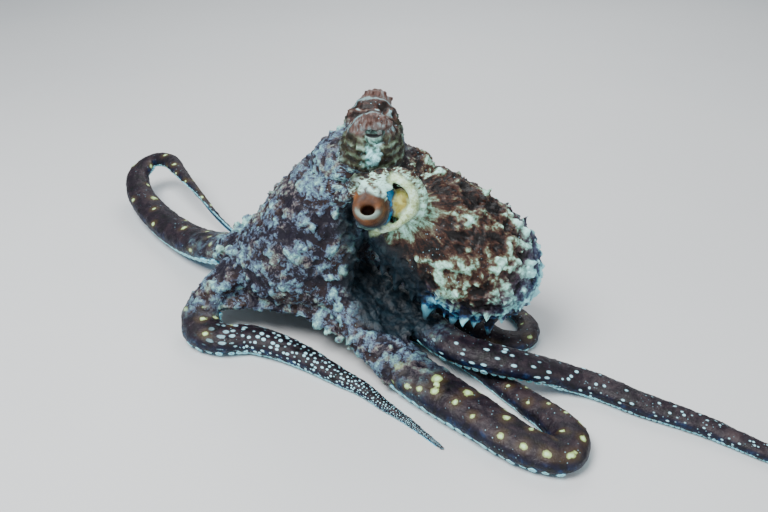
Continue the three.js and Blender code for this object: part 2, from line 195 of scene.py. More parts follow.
# Making pieces
def clearSelection():
    if bpy.context.object and bpy.context.object.mode != "OBJECT":
        bpy.ops.object.mode_set(mode="OBJECT")
    bpy.ops.object.select_all(action="DESELECT")


def readPoints(piece):
    points = np.empty(len(piece.data.vertices) * 3, np.float32)
    piece.data.vertices.foreach_get("co", points)
    return points.reshape(-1, 3).astype(float)


def writePoints(piece, points):
    piece.data.vertices.foreach_set("co", np.asarray(points, np.float32).ravel())
    piece.data.update()


def selectOnly(*pieces):
    clearSelection()
    for piece in pieces:
        piece.select_set(True)
    bpy.context.view_layer.objects.active = pieces[0]


def applyModifier(piece, kind, **settings):
    selectOnly(piece)
    bpy.ops.object.modifier_add(type=kind)
    modifier = piece.modifiers[-1]
    for key, value in settings.items():
        setattr(modifier, key, value)
    bpy.ops.object.modifier_apply(modifier=modifier.name)


def facesOutward(piece):
    selectOnly(piece)
    bpy.ops.object.mode_set(mode="EDIT")
    bpy.ops.mesh.select_all(action="SELECT")
    bpy.ops.mesh.normals_make_consistent(inside=False)
    bpy.ops.object.mode_set(mode="OBJECT")


def sleeve(name, around, rings, shape):
    # a ball whose poles are the two ends; shape(t, angle) says where each of its points goes
    clearSelection()
    bpy.ops.mesh.primitive_uv_sphere_add(segments=around, ring_count=rings, radius=1)
    piece = bpy.context.object
    piece.name = piece.data.name = name
    ball = readPoints(piece)
    t = np.arccos(np.clip(ball[:, 2], -1, 1)) / math.pi
    writePoints(piece, place(shape(t, np.arctan2(ball[:, 1], ball[:, 0]))))
    facesOutward(piece)
    return piece


def armShape(arm):
    def shape(t, angle):
        s = t * arm["length"]
        middle, ahead, side, up = armFrame(arm, s)
        end = (np.minimum(t, 1 - t) > 1e-4)[:, None]
        wide, high = armHalfWidth(arm, s)[:, None], armHeight(arm, s)[:, None]
        across, rise = np.sin(angle)[:, None], np.cos(angle)[:, None]
        flat = armForm["belly"] * np.sign(rise) * np.abs(rise) ** armForm["bellyFlat"]
        rise = np.where(rise > 0, armForm["back"] * rise, flat)
        return middle + end * (side * across * wide * 0.97 + up * rise * high)
    return shape


armPieces = [sleeve(name, 28, int(arm["length"] / 3), armShape(arm)) for name, arm in arms.items()]
print("arms:", len(armPieces))

# Web
web = dict(thickness=4.0, rows=18, columns=16, level=0.46, dip=0.16, arch=8, order=[
    "arm_left_1", "arm_left_2", "arm_left_3", "arm_left_4", "arm_right_4", "arm_right_3", "arm_right_2",
    "arm_right_1"])


def webLine(arm, share):
    s = share * arm["webbed"]
    base = alongLine(arm["line"], s)[0]
    up = armFrame(arm, s)[3]
    return base + up * web["level"] * armHeight(arm, s)[:, None]


def webSheet(first, second):
    clearSelection()
    bpy.ops.mesh.primitive_grid_add(x_subdivisions=web["rows"], y_subdivisions=web["columns"], size=2)
    piece = bpy.context.object
    grid = readPoints(piece)
    down, across = (grid[:, 0] + 1) / 2, (grid[:, 1] + 1) / 2
    bow = 4 * across * (1 - across)
    share = down * (1 - web["dip"] * bow)
    points = mix(webLine(arms[first], share), webLine(arms[second], share), across[:, None])
    points[:, 2] += web["arch"] * bow * down
    writePoints(piece, place(points))
    applyModifier(piece, "SOLIDIFY", thickness=web["thickness"] / 1000, offset=0)
    return piece


webPieces = [webSheet(a, b) for a, b in zip(web["order"], web["order"][1:] + web["order"][:1])]
print("web:", len(webPieces))

# Crown and head
# Crown rows: height, centre x and y, radii along x and y, and how far its lobes run out along the arms.
crown = dict(rows=[(29, -58, 28, 36, 30, 12), (38, -59, 28, 43, 37, 14), (56, -57, 27, 44, 39, 9),
                   (76, -51, 26, 44, 39, 4), (95, -42, 25, 42, 37, 0), (112, -34, 25, 37, 34, 0),
                   (126, -27, 24, 31, 30, 0)],
             lobeWidth=20, lobes=[132, 176, -46, -18, 10, 38, 64, 100])
head = dict(middle=(-15, 23, 127), radii=(34.5, 29.5, 26.5))
nape = dict(middle=(13.5, 20, 121.5), radii=(21, 21, 19))       # fills the dip between head and mantle
turret = dict(foot=(-8, 23, 132), lean=9, spread=12,
              outline=[(0, 23), (10, 21.8), (20, 19), (29, 15), (35, 9.6), (37.8, 4.2), (38.4, 0)])


def crownShape(t, angle):
    rows = np.array(crown["rows"], float)
    along = np.clip((t - 0.04) / 0.92, 0, 1) * (len(rows) - 1)
    z, x, y, rx, ry, lobe = [np.interp(along, range(len(rows)), rows[:, k]) for k in range(6)]
    turns = np.degrees(angle)[:, None] - np.array(crown["lobes"])[None]
    turns = (turns + 540) % 360 - 180
    lobes = np.exp(-(turns / crown["lobeWidth"]) ** 2).max(1)
    offPole = np.where((t < 1e-4) | (t > 1 - 1e-4), 0, 1)
    out = (lobes * lobe) * offPole
    wide, deep = rx * offPole + out, ry * offPole + out
    return np.stack([x + wide * np.cos(angle), y + deep * np.sin(angle), z], -1)


def ballShape(middle, radii):
    def shape(t, angle):
        s = np.sin(t * math.pi)
        ball = np.stack([s * np.cos(angle), s * np.sin(angle), np.cos(t * math.pi)], -1)
        return np.array(middle) + ball * np.array(radii)
    return shape


def turretShape(side):
    outline = np.array(turret["outline"], float)
    lean = math.radians(turret["lean"]) * side
    axis = np.array([0, math.sin(lean), math.cos(lean)])
    fore, cross = np.array([1, 0, 0]), np.array([0, math.cos(lean), -math.sin(lean)])
    foot = np.array(turret["foot"]) + [0, side * turret["spread"], 0]

    def shape(t, angle):
        along = np.clip(t / 0.97, 0, 1) * (len(outline) - 1)
        high = np.interp(along, range(len(outline)), outline[:, 0])
        radius = np.interp(along, range(len(outline)), outline[:, 1]) * (t > 1e-4)
        return (foot + axis * high[:, None] + fore * (radius * np.cos(angle))[:, None]
                + cross * (radius * np.sin(angle))[:, None])
    return shape


hollow = dict(middle=(3, 2, 60), radii=(25, 23, 29))
crownPiece = sleeve("crown", 64, 40, crownShape)
scoop = sleeve("scoop", 40, 28, ballShape(*hollow.values()))
applyModifier(crownPiece, "BOOLEAN", operation="DIFFERENCE", solver="EXACT", object=scoop)
bpy.data.objects.remove(scoop)
bodyPieces = [crownPiece,
              sleeve("head", 64, 40, ballShape(**head)),
              sleeve("nape", 40, 28, ballShape(**nape)),
              sleeve("turretLeft", 48, 36, turretShape(-1)),
              sleeve("turretRight", 48, 36, turretShape(1))]

# Mantle and funnel
mantle = dict(start=(9, 15, 111), handle=(40, 5, 72), end=(103, -8, 50), sag=0.96,
              rings=[(0, 23), (0.02, 30), (0.07, 35.5), (0.18, 39.5), (0.34, 42), (0.52, 42.5), (0.68, 40.5),
                     (0.82, 35.5), (0.92, 26.5), (0.98, 15.5), (1, 5)],
              pocket=((9, -27, 122), (9, 14, 11)), lipRadius=2.5, collarRadius=5.0,
              collar=[(4, -19, 142), (14, -23, 141.5), (21.5, -26, 134), (23.5, -27, 122), (17, -26.5, 111),
                      (9, -25, 101), (3, -21, 92)],
              lip=[(2, -25, 140), (9, -29, 139.5), (16, -31, 133), (18, -32, 123), (12.5, -32.5, 115),
                   (6, -31, 109), (0, -26, 104), (-5, -17, 99), (-8, -6, 92)])
brow = dict(route=[(-29, -13, 116), (-24, -19, 126), (-15, -24, 135), (-4, -25, 140), (6, -23, 142)],
            radius=5.2, fringeForm=(1.45, 1, 0.9),
            fringe=((-23, -25, 127, 2.4), (-20, -30, 131, 2.4), (-14, -34, 135, 2.2),
                    (-8.5, -35, 136.5, 2.0),
                    (-5, -35.5, 135, 2.5), (-1, -34, 133, 2.3), (0.5, -32.5, 129.5, 1.7), (2, -30, 136, 2.6),
                    (-12, -31, 137, 2.8), (-6, -31, 138, 3.0), (-2, -30.5, 137, 3.0)))
strip = dict(route=[(2, -21, 136), (2.5, -25.5, 129), (2.5, -27, 120), (1, -28, 111), (-2, -26, 102)],
             radius=2.6)
funnelBase = dict(middle=(10.6, -23.5, 121.5), radii=(8.4, 7.8, 10.4))
funnel = dict(root=(-7, -6, 105), end=(-10, -41, 129), hole=(5.0, 3.5), drop=2.8, reach=10.5,
              outline=[(0, 0), (0, 9), (0.12, 11.8), (0.7, 10.8), (0.9, 9.4), (0.98, 7.6), (1, 6.2),
                       (0.99, 5.0),
                       (0.93, 4.5), (0.7, 4.3), (0.68, 0)])


def mantleLine(share):
    share = np.asarray(share, float)
    a, b, c = [np.array(mantle[k], float) for k in ("start", "handle", "end")]
    t = np.linspace(0, 1, 200)[:, None]
    line = (1 - t) ** 2 * a + 2 * t * (1 - t) * b + t ** 2 * c
    length = alongLine(line, [0])[1]
    point = alongLine(line, share * length)[0]
    ahead = unit(alongLine(line, share * length + 1)[0] - alongLine(line, share * length - 1)[0])
    side = unit(np.stack([ahead[..., 1], -ahead[..., 0], 0 * share], -1))
    return point, ahead, side, np.cross(side, ahead)


def mantleRadius(share):
    rings = np.array(mantle["rings"], float)
    return np.interp(share, rings[:, 0], rings[:, 1])


def mantleShape(t, angle):
    share = 0.5 - 0.5 * np.cos(np.clip(t, 0, 1) * math.pi)
    point, ahead, side, up = mantleLine(share)
    radius = (mantleRadius(share) * ((t > 1e-4) & (t < 1 - 1e-4)))[:, None]
    across, rise = np.cos(angle)[:, None], mantle["sag"] * np.sin(angle)[:, None]
    return point + side * radius * across + up * radius * rise


def tubeShape(route, radius, flat=1.0):
    line = throughPoints(route)
    length = alongLine(line, [0])[1]

    def shape(t, angle):
        s = t * length
        point = alongLine(line, s)[0]
        ahead = unit(alongLine(line, s + 0.5)[0] - alongLine(line, s - 0.5)[0])
        side = unit(np.cross(np.broadcast_to([0.0, -1.0, 0.3], ahead.shape), ahead))
        out = np.cross(ahead, side)
        r = (radius(t) if callable(radius) else radius) * np.sqrt(np.clip(1 - np.abs(2 * t - 1) ** 16, 0, 1))
        return point + side * (r * np.cos(angle))[:, None] + out * (r * flat * np.sin(angle))[:, None]
    return shape


def funnelShape(t, angle):
    outline = np.array(funnel["outline"], float)
    root, end = np.array(funnel["root"], float), np.array(funnel["end"], float)
    ahead = unit(end - root)
    side = unit(np.array([ahead[1], -ahead[0], 0]))
    up = np.cross(side, ahead)
    along = t * (len(outline) - 1)
    share = np.interp(along, range(len(outline)), outline[:, 0])
    radius = np.interp(along, range(len(outline)), outline[:, 1])
    inner = ease(along, 5.5, 7.5)
    drop = up * (-funnel["drop"] * inner)[:, None]
    squash = mix(1.0, funnel["hole"][1] / funnel["hole"][0], inner)
    return (root + (end - root) * share[:, None] + drop + side * (radius * np.cos(angle))[:, None]
            + up * (radius * squash * np.sin(angle))[:, None])


def lipThickness(t):
    return mantle["lipRadius"] * (0.8 + 0.3 * np.exp(-((t - 0.38) / 0.14) ** 2) + 0.1 * np.sin(23 * t)
                                  - 0.45 * ease(t, 0.5, 1))


sac = sleeve("mantleSac", 96, 80, mantleShape)
pocket = sleeve("pocket", 32, 24, ballShape(*mantle["pocket"]))
applyModifier(sac, "BOOLEAN", operation="DIFFERENCE", solver="EXACT", object=pocket)
bpy.data.objects.remove(pocket)
bodyPieces += [sac, sleeve("lip", 20, 90, tubeShape(mantle["lip"], lipThickness)),
               sleeve("collar", 24, 60, tubeShape(mantle["collar"], mantle["collarRadius"])),
               sleeve("strip", 16, 30, tubeShape(strip["route"], strip["radius"])),
               sleeve("brow", 24, 40, tubeShape(brow["route"], brow["radius"])),
               *[sleeve(f"fringe{k}", 12, 10, ballShape((x, y, z), size * np.array(brow["fringeForm"])))
                 for k, (x, y, z, size) in enumerate(brow["fringe"])],
               sleeve("funnelBase", 32, 24, ballShape(funnelBase["middle"], funnelBase["radii"])),
               sleeve("funnel", 40, 80, funnelShape)]
print("body pieces:", len(bodyPieces))

# Eyelids
lids = dict(tilt=0.22, hood=(0, 7.4, 3.4), hoodRadii=(11.6, 5.6, 6.6), hoodSag=2.6, pleatApart=3.4,
            pleats=0.32, lower=(118, 242, 1.9, 2.6, 7.6))


def eyeAxes(side):
    out = unit(np.array([0.0, side, lids["tilt"]]))
    fore = np.array([1.0, 0, 0])
    up = np.cross(fore, out) * side
    return np.array([eyes["forward"], eyes["midline"] + side * eyes["out"], eyes["high"]]), fore, up, out


def hoodShape(side):
    middle, fore, up, out = eyeAxes(side)

    def shape(t, angle):
        s, c = np.sin(t * math.pi)[:, None], np.cos(t * math.pi)[:, None]
        x, y, z = s * np.cos(angle)[:, None], s * np.sin(angle)[:, None], c
        centre, radii = lids["hood"], lids["hoodRadii"]
        sag = -lids["hoodSag"] * x ** 2                             # the hood's ends hang down round the eye
        return (middle + fore * (centre[0] + radii[0] * x) + up * (centre[1] + radii[1] * y + sag)
                + out * (centre[2] + radii[2] * z))
    return shape


def lowerLidShape(side):
    middle, fore, up, out = eyeAxes(side)
    start, end, thick, forward, reach = lids["lower"]

    def shape(t, angle):
        turn = np.radians(mix(start, end, t))
        radial = fore * np.sin(turn)[:, None] + up * np.cos(turn)[:, None]
        r = thick * np.sqrt(np.clip(1 - np.abs(2 * t - 1) ** 2.6, 0, 1))
        point = middle + out * forward + radial * (reach + 0.3 * thick)
        return point + radial * (r * np.cos(angle))[:, None] + out * (r * np.sin(angle))[:, None]
    return shape


for side in (-1, 1):
    bodyPieces.append(sleeve(f"hood{side}", 32, 24, hoodShape(side)))
    bodyPieces.append(sleeve(f"lowerLid{side}", 16, 40, lowerLidShape(side)))

# Knobs and ridges
# Pale lumps on web and head: place, radius, how pale. Pale ridges of the sac: share and degrees along each.
knobs = [((-97, 36, 80), 5.0, 1.0), ((-104, 34, 74), 4.2, 0.9), ((-124, 62, 40), 4.5, 1.0),
         ((-74, 38, 104), 3.6, 0.1),
         ((-79, 37, 99), 3.0, 0.4), ((-54, -13, 83), 2.6, 1.1), ((-31, -9, 106), 2.2, 1.0),
         ((-58, -12, 74), 3.4, 0.8),
         ((-24, -8, 88), 3.6, 0.7), ((-21, -7, 79), 3.2, 0.8), ((-19, -6, 71), 3.0, 0.7),
         ((-26, -11, 64), 3.2, 0.8),
         ((-96, 17, 62), 4.0, 0.9), ((-36, -17, 46), 3.6, 0.9), ((-31, -20, 42), 3.0, 1.0),
         ((-84, 6, 88), 3.2, 0.6),
         ((-70, -2, 60), 3.2, 0.7), ((-45, -12, 98), 2.6, 0.7), ((-64, 0, 104), 3.0, 0.6),
         ((-88, 4, 60), 3.4, 0.7),
         ((-38, -13, 60), 3.0, 0.8), ((-110, 30, 58), 3.6, 0.8), ((-22, 62, 100), 3.5, 0.7),
         ((-60, 66, 84), 3.5, 0.7),
         ((-84, 56, 72), 3.8, 0.8), ((-36, 66, 70), 3.5, 0.7), ((-67, -3, 29), 3.2, 0.8),
         ((-57, -7, 26), 2.8, 1.0),
         ((-47, -15, 24), 3.0, 0.8), ((-39, -20, 21), 2.5, 1.0), ((-30, -25, 19), 2.4, 0.9),
         ((-23, -32, 16), 2.2, 0.8)]
ridges = [([(0.37, 46), (0.41, 62), (0.43, 80), (0.42, 104)], 2.6),
          ([(0.30, -2), (0.38, 6), (0.47, 14), (0.56, 18)], 2.0),
          ([(0.5, -20), (0.6, -10), (0.7, -2), (0.8, 2)], 2.0),
          ([(0.56, 40), (0.68, 36), (0.8, 40), (0.9, 46)], 2.0),
          ([(0.45, -42), (0.55, -36), (0.68, -32), (0.8, -24)], 1.8),
          ([(0.5, 130), (0.6, 120), (0.75, 110)], 2.0),
          ([(0.02, 76), (0.05, 86), (0.06, 96)], 2.8)]
for number, (spot, radius, _) in enumerate(knobs):
    bodyPieces.append(sleeve(f"knob{number}", 14, 10, ballShape(spot, radius * np.array([1, 0.9, 0.8]))))

# Papillae
# Soft spikes on the sac: share of its length, degrees round it (0 left side, 90 back, below 0 the underside)
# and length.
papillae = dict(slender=0.37, longer=1.25, sunk=3, droop=0.7, bend=0.25, places=[
    (0.23, -56, 8), (0.32, -58, 9), (0.42, -56, 8), (0.5, -48, 12), (0.57, -6, 6), (0.65, -54, 9),
    (0.68, -33, 9), (0.75, -44, 7), (0.77, -16, 8), (0.83, -48, 9), (0.82, 4, 6), (0.9, 22, 6),
    (0.39, 60, 5),
    (0.42, 106, 6), (0.27, -61, 5), (0.37, -50, 5), (0.46, -58, 6), (0.54, -56, 7), (0.6, -50, 6),
    (0.6, -28, 6), (0.7, -56, 6), (0.87, -28, 6), (0.93, -8, 5), (0.95, 30, 5), (0.88, 44, 5), (0.73, 2, 5),
    (0.69, 36, 5), (0.78, 58, 5), (0.41, 68, 4), (0.36, 6, 4), (0.5, -6, 5), (0.6, 120, 5), (0.75, 110, 6),
    (0.85, 88, 5), (0.5, 150, 5), (0.66, 168, 6), (0.8, 150, 6), (0.9, 190, 6), (0.7, 215, 8), (0.5, 222, 8),
    (0.35, 224, 7), (0.82, 236, 8), (0.6, 246, 8), (0.93, 270, 6)])


def mantlePoint(share, degrees, lift=0.0):
    share, turn = np.atleast_1d(np.asarray(share, float)), np.radians(np.atleast_1d(degrees))[:, None]
    point, ahead, side, up = mantleLine(share)
    out = side * np.cos(turn) + up * mantle["sag"] * np.sin(turn)
    return point + out * (mantleRadius(share)[:, None] + lift), unit(out), ahead


def papillaShape(share, degrees, size):
    length = size * papillae["longer"]
    root, out, ahead = [v[0] for v in mantlePoint(share, degrees)]
    aim = unit(out + np.array([0, 0, -papillae["droop"] * max(0.0, -math.sin(math.radians(degrees)))]))
    side = unit(np.cross(aim, ahead))
    across = np.cross(side, aim)

    def shape(t, angle):
        reach = mix(-papillae["sunk"], length, t)
        radius = papillae["slender"] * length * (1 - t ** 1.5) * (1 + 0.9 * np.exp(-6 * t)) * (t > 1e-4)
        radius = radius * (1 + 0.34 * np.sin(3 * angle + 5 * t + 40 * share) * ease(t, 0.1, 0.5))
        lean = papillae["bend"] * length * t ** 2
        return (root + aim * reach[:, None] + ahead * lean[:, None]
                + side * (radius * np.cos(angle))[:, None] + across * (radius * np.sin(angle))[:, None])
    return shape


for number, spot in enumerate(papillae["places"]):
    bodyPieces.append(sleeve(f"papilla{number}", 12, 14, papillaShape(*spot)))
ridgeLines = []
for number, (stops, radius) in enumerate(ridges):
    shares, degrees = np.array(stops, float).T
    ridgeLines.append(throughPoints(mantlePoint(shares, degrees, -0.35 * radius)[0]))
    lumpRng = np.random.default_rng(100 + number)
    reach = alongLine(ridgeLines[-1], [0])[1]
    for way in np.arange(0, reach, 3.1):
        lump = radius * lumpRng.uniform(0.45, 1.35)
        at = alongLine(ridgeLines[-1], [way])[0][0] + lumpRng.uniform(-1.4, 1.4, 3)
        bodyPieces.append(sleeve(f"lump{number}_{int(way)}", 10, 8, ballShape(at, (lump, lump, lump * 1.2))))
print("papillae:", len(papillae["places"]))

# One skin
skinForm = dict(voxel=1.0, soften=5, joinSoften=60, triangles=196000, seat=0.35)
selectOnly(*bodyPieces, *webPieces, *armPieces)
bpy.ops.object.join()
skin = bpy.context.object
skin.name = skin.data.name = "skin"
applyModifier(skin, "REMESH", mode="VOXEL", voxel_size=skinForm["voxel"] / 1000)
applyModifier(skin, "SMOOTH", iterations=skinForm["soften"], factor=0.5)
print("skin:", len(skin.data.vertices), "points")


def skinPoints():
    # the skin's points in working millimetres
    return readPoints(skin) * 1000 - shift


points = skinPoints()
offGill = np.linalg.norm(points - np.array(mantle["pocket"][0]), axis=1)
offLip = nearest(points, throughPoints(mantle["lip"]))[1]
softening = ease(-offGill, -42, -34) * ease(offLip, 3.2, 6.5) * (points[:, 0] > 6)
joins = skin.vertex_groups.new(name="joins")
for level in range(1, 6):
    joins.add(np.flatnonzero(np.round(softening * 5) == level).tolist(), 0.2 * level, "REPLACE")
applyModifier(skin, "SMOOTH", iterations=skinForm["joinSoften"], factor=0.5, vertex_group="joins")
skin.vertex_groups.clear()

# Stations along each arm, so a point of the skin can be told by its arm, its way along and its way round.
for arm in arms.values():
    arm["stations"] = np.arange(0, arm["length"], 2.0)
    arm["frame"] = armFrame(arm, arm["stations"])
    arm["grown"] = np.cumsum(2.0 / armHalfWidth(arm, arm["stations"]))  # way along counted in half-widths
gill = dict(middle=(9.0, -27, 122), towards=(94, -23, -61), outward=(-0.2, -0.9, 0.3),
            turns=30, outwards=0.32)


def ellipsoidGap(points, middle, radii):
    reach = np.linalg.norm((points - np.array(middle)) / np.array(radii), axis=1)
    return (reach - 1) * np.mean(radii)


def bodyPlaces(points):
    # for each point: how far it stands off each part, in mm, and its coordinates on arm, sac and turret
    count = len(points)
    has = dict(armGap=np.full(count, 1e3), along=np.zeros(count), around=np.zeros(count),
                  grown=np.zeros(count), armNumber=np.zeros(count), webbed=np.zeros(count))
    for number, arm in enumerate(arms.values()):
        middle, ahead, side, up = arm["frame"]
        near, _ = nearest(points, middle)
        v = points - middle[near]
        forward, across, rise = [(v * axis[near]).sum(1) for axis in (ahead, side, up)]
        wide, high = armHalfWidth(arm, arm["stations"][near]), armHeight(arm, arm["stations"][near])
        past = np.maximum(np.abs(forward) - 3, 0)
        reach = np.sqrt((across / wide) ** 2 + (rise / (armForm["back"] * high)) ** 2 + (past / wide) ** 2)
        gap = (reach - 1) * 0.7 * wide
        best = gap < has["armGap"]
        along = arm["stations"][near] + forward
        around = np.arctan2(across / wide, rise / (armForm["back"] * high))
        found = dict(armGap=gap, along=along, around=around,
                     grown=np.interp(along, arm["stations"], arm["grown"]), armNumber=np.full(count, number),
                     webbed=along / arm["webbed"])
        for key, value in found.items():
            has[key] = np.where(best, value, has[key])
    stations = np.linspace(0, 1, 140)
    point, ahead, side, up = mantleLine(stations)
    near, _ = nearest(points, point)
    v = points - point[near]
    across, rise = (v * side[near]).sum(1), (v * up[near]).sum(1)
    radius = mantleRadius(stations[near])
    past = (v * ahead[near]).sum(1)
    beyond = np.maximum(past, 0) * (near == len(stations) - 1) + np.maximum(-past, 0) * (near == 0)
    has["sacGap"] = np.sqrt(across ** 2 + (rise / mantle["sag"]) ** 2 + beyond ** 2) - radius
    collarGap = nearest(points, throughPoints(mantle["collar"]))[1] - mantle["collarRadius"]
    has["sacGap"] = np.minimum(has["sacGap"], np.minimum(collarGap, ellipsoidGap(points, **nape)) - 0.5)
    has["sacAround"] = np.arctan2(rise, across)
    has["headGap"] = ellipsoidGap(points, head["middle"], head["radii"])
    outline = np.array(turret["outline"], float)
    has["turretGap"] = np.full(count, 1e3)
    has["turretHigh"] = np.zeros(count)
    has.update(eyeOff=np.full(count, 1e3), eyeX=np.zeros(count), eyeY=np.zeros(count), eyeZ=np.zeros(count))
    for side in (-1, 1):
        lean = math.radians(turret["lean"]) * side
        axis = np.array([0, math.sin(lean), math.cos(lean)])
        v = points - np.array(turret["foot"]) - [0, side * turret["spread"], 0]
        high = v @ axis
        gap = np.linalg.norm(v - high[:, None] * axis, axis=1) - np.interp(high, outline[:, 0],
                                                                           outline[:, 1])
        gap = np.maximum(gap, high - outline[-1, 0])
        middle, fore, up, out = eyeAxes(side)
        eyeV = points - middle
        off = np.linalg.norm(eyeV, axis=1)
        closer = off < has["eyeOff"]
        found = dict(eyeOff=off, eyeX=eyeV @ fore, eyeY=eyeV @ up, eyeZ=eyeV @ out)
        for key, value in found.items():
            has[key] = np.where(closer, value, has[key])
        gap = gap + 3 * np.maximum(11 - high, 0)
        best = gap < has["turretGap"]
        for key, value in (("turretGap", gap), ("turretHigh", high)):
            has[key] = np.where(best, value, has[key])
    rows = np.array(crown["rows"], float)
    x, y, rx, ry, lobe = [np.interp(points[:, 2], rows[:, 0], rows[:, k]) for k in range(1, 6)]
    crownGap = (np.hypot((points[:, 0] - x) / (rx + lobe / 2),
                         (points[:, 1] - y) / (ry + lobe / 2)) - 1) * rx
    has["crownGap"] = np.maximum(crownGap, points[:, 2] - rows[-1, 0])
    has["lipGap"] = nearest(points, throughPoints(mantle["lip"]))[1] - mantle["lipRadius"]
    root, end = np.array(funnel["root"], float), np.array(funnel["end"], float)
    length = np.linalg.norm(end - root)
    v = points - root
    share = v @ ((end - root) / length) / length
    off = np.linalg.norm(v - np.clip(share, 0, 1)[:, None] * (end - root), axis=1)
    has["funnelShare"] = share
    hoodX = has["eyeX"] / lids["hoodRadii"][0]
    hoodV = [hoodX, (has["eyeY"] - lids["hood"][1] + lids["hoodSag"] * hoodX ** 2) / lids["hoodRadii"][1],
             (has["eyeZ"] - lids["hood"][2]) / lids["hoodRadii"][2]]
    has["hoodGap"] = (np.linalg.norm(hoodV, axis=0) - 1) * 6
    aim = unit(end - root)
    acrossHole = unit(np.array([aim[1], -aim[0], 0]))
    v = points - end
    has["holeOff"] = np.hypot((v @ acrossHole) / funnel["hole"][0],
                                 (v @ np.cross(acrossHole, aim) + funnel["drop"]) / funnel["hole"][1])
    has["holeLow"] = -(v @ np.cross(acrossHole, aim) + funnel["drop"])
    flapGap = np.min([np.linalg.norm(points - np.array(f[:3]), axis=1) - f[3] for f in brow["fringe"]], 0)
    inFunnel = ease(funnel["reach"] - off, -2.6, -1.2)
    has["funnel"] = inFunnel * ease(share, 0.3, 0.5) * ease(flapGap, -0.2, 0.7)
    stripLine = throughPoints(strip["route"])
    has["strip"] = ease(-nearest(points, stripLine)[1], -strip["radius"] - 2.0, -strip["radius"] - 0.8)
    has["ochreGap"] = ellipsoidGap(points, funnelBase["middle"], funnelBase["radii"])
    # polar way out from the gill opening over the sac
    n = unit(np.array(gill["outward"]))
    e1 = np.array(gill["towards"], float)
    e1 = unit(e1 - (e1 @ n) * n)
    e2 = np.cross(n, e1)
    v = points - np.array(gill["middle"])
    has["fan"] = np.arctan2(v @ e2, v @ e1)
    has["fanOut"] = np.linalg.norm(v, axis=1)
    has["nearSide"] = ease(v @ n, -72, -38)
    # how surely the point belongs to each part, from 0 to 1
    gaps = np.stack([has[k] for k in ("armGap", "sacGap", "headGap", "turretGap", "crownGap")])
    weights = np.exp(-np.clip(gaps - gaps.min(0), 0, 60) / 1.5)
    weights /= weights.sum(0)
    for key, weight in zip(("arm", "sac", "head", "turret", "crown"), weights):
        has[key] = weight
    has["ochre"] = (ease(-has["ochreGap"], -3.4, -2.2) * ease(has["lipGap"], -0.3, 0.6)
                       * ease(points[:, 0], 3.2, 4.8))
    has["lip"] = ease(-has["lipGap"], -1.8, -0.3) * (1 - has["funnel"])
    has["funnelLip"] = (has["funnel"] * (share > 0.86) * ease(has["holeOff"], 0.85, 1.05)
                           * ease(-has["holeOff"], -1.75, -1.45) * ease(has["holeLow"], -1.2, 0.8))
    has["strip"] *= (1 - has["funnel"]) * (1 - has["lip"])
    has["ochre"] *= 1 - has["strip"]
    free = has["arm"] * ease(has["webbed"] + 0.14 * swirl(points, 15, 3, 3), 0.8, 1.2)
    has["plain"] = free                                                      # smooth spotted arm skin
    has["sac"] = has["sac"] * (1 - has["funnel"])
    has["ragged"] = np.clip(1 - free - has["sac"] - has["turret"] * 0.4 - has["funnel"], 0, 1)
    return has


# How much the skin is worked, in mm: lumps, creases, warts, streak ridges, turret rings and arm wrinkles.
surface = dict(lumps=1.6, creases=1.2, wartHigh=2.6, wartWide=4.6, wartApart=8.5, fineHigh=0.85,
               fineWide=1.7,
               fineApart=3.8, streaks=1.5, folds=0.8, sacWarts=3.6, crags=1.4, rings=0.45, ringApart=5.5,
               wrinkles=0.45, armWarts=0.55, armWartWide=1.5, armWartApart=5.5)


def cellKeys(cells):
    return (cells[:, 0] * 4000 + cells[:, 1]) * 4000 + cells[:, 2]


def nearestGrid(points, others, size=2.5):
    # index of the closest of the others to each point, both spread over the same surface
    order = np.argsort(cellKeys(np.floor(others / size + 500).astype(np.int64)), kind="stable")
    keys = cellKeys(np.floor(others / size + 500).astype(np.int64))[order]
    cells = np.floor(points / size + 500).astype(np.int64)
    best, found = np.full(len(points), 1e9), np.zeros(len(points), int)
    for step in np.ndindex(3, 3, 3):
        wanted = cellKeys(cells + np.array(step) - 1)
        start, stop = np.searchsorted(keys, wanted), np.searchsorted(keys, wanted, side="right")
        for k in range(int((stop - start).max())):
            at = np.minimum(start + k, len(order) - 1)
            off = np.where(start + k < stop, ((points - others[order[at]]) ** 2).sum(1), 1e9)
            closer = off < best
            best, found = np.where(closer, off, best), np.where(closer, order[at], found)
    return found


def warts(points, mask, apart, wide, seed):
    # one wart in each cell of a grid over the masked skin; each is looked for in the cells round a point
    rng = np.random.default_rng(seed)
    order = rng.permutation(np.flatnonzero(mask > 0.3))
    cells = np.floor(points / apart + 500).astype(np.int64)
    keys, first = np.unique(cellKeys(cells[order]), return_index=True)
    picks = points[order[first]]
    size = 0.25 + 0.75 * rng.uniform(0, 1, len(picks)) ** 1.8
    bump = np.zeros(len(points))
    todo = np.flatnonzero(mask > 0.02)
    for step in np.ndindex(3, 3, 3):
        wanted = cellKeys(cells[todo] + np.array(step) - 1)
        at = np.minimum(np.searchsorted(keys, wanted), len(keys) - 1)
        reach = np.linalg.norm(points[todo] - picks[at], axis=1) / (wide * size[at])
        rise = np.clip(1 - reach, 0, 1) ** 0.85 * size[at] * (keys[at] == wanted)
        bump[todo] = np.maximum(bump[todo], rise)
    return bump


def readNormals(piece):
    normals = np.empty(len(piece.data.vertices) * 3, np.float32)
    piece.data.vertices.foreach_get("normal", normals)
    return normals.reshape(-1, 3).astype(float)


def fanPlace(on):
    # streaks run along these: quick round the gill opening and slow outwards
    return (np.cos(on["fan"]) * gill["turns"], np.sin(on["fan"]) * gill["turns"],
            on["fanOut"] * gill["outwards"])


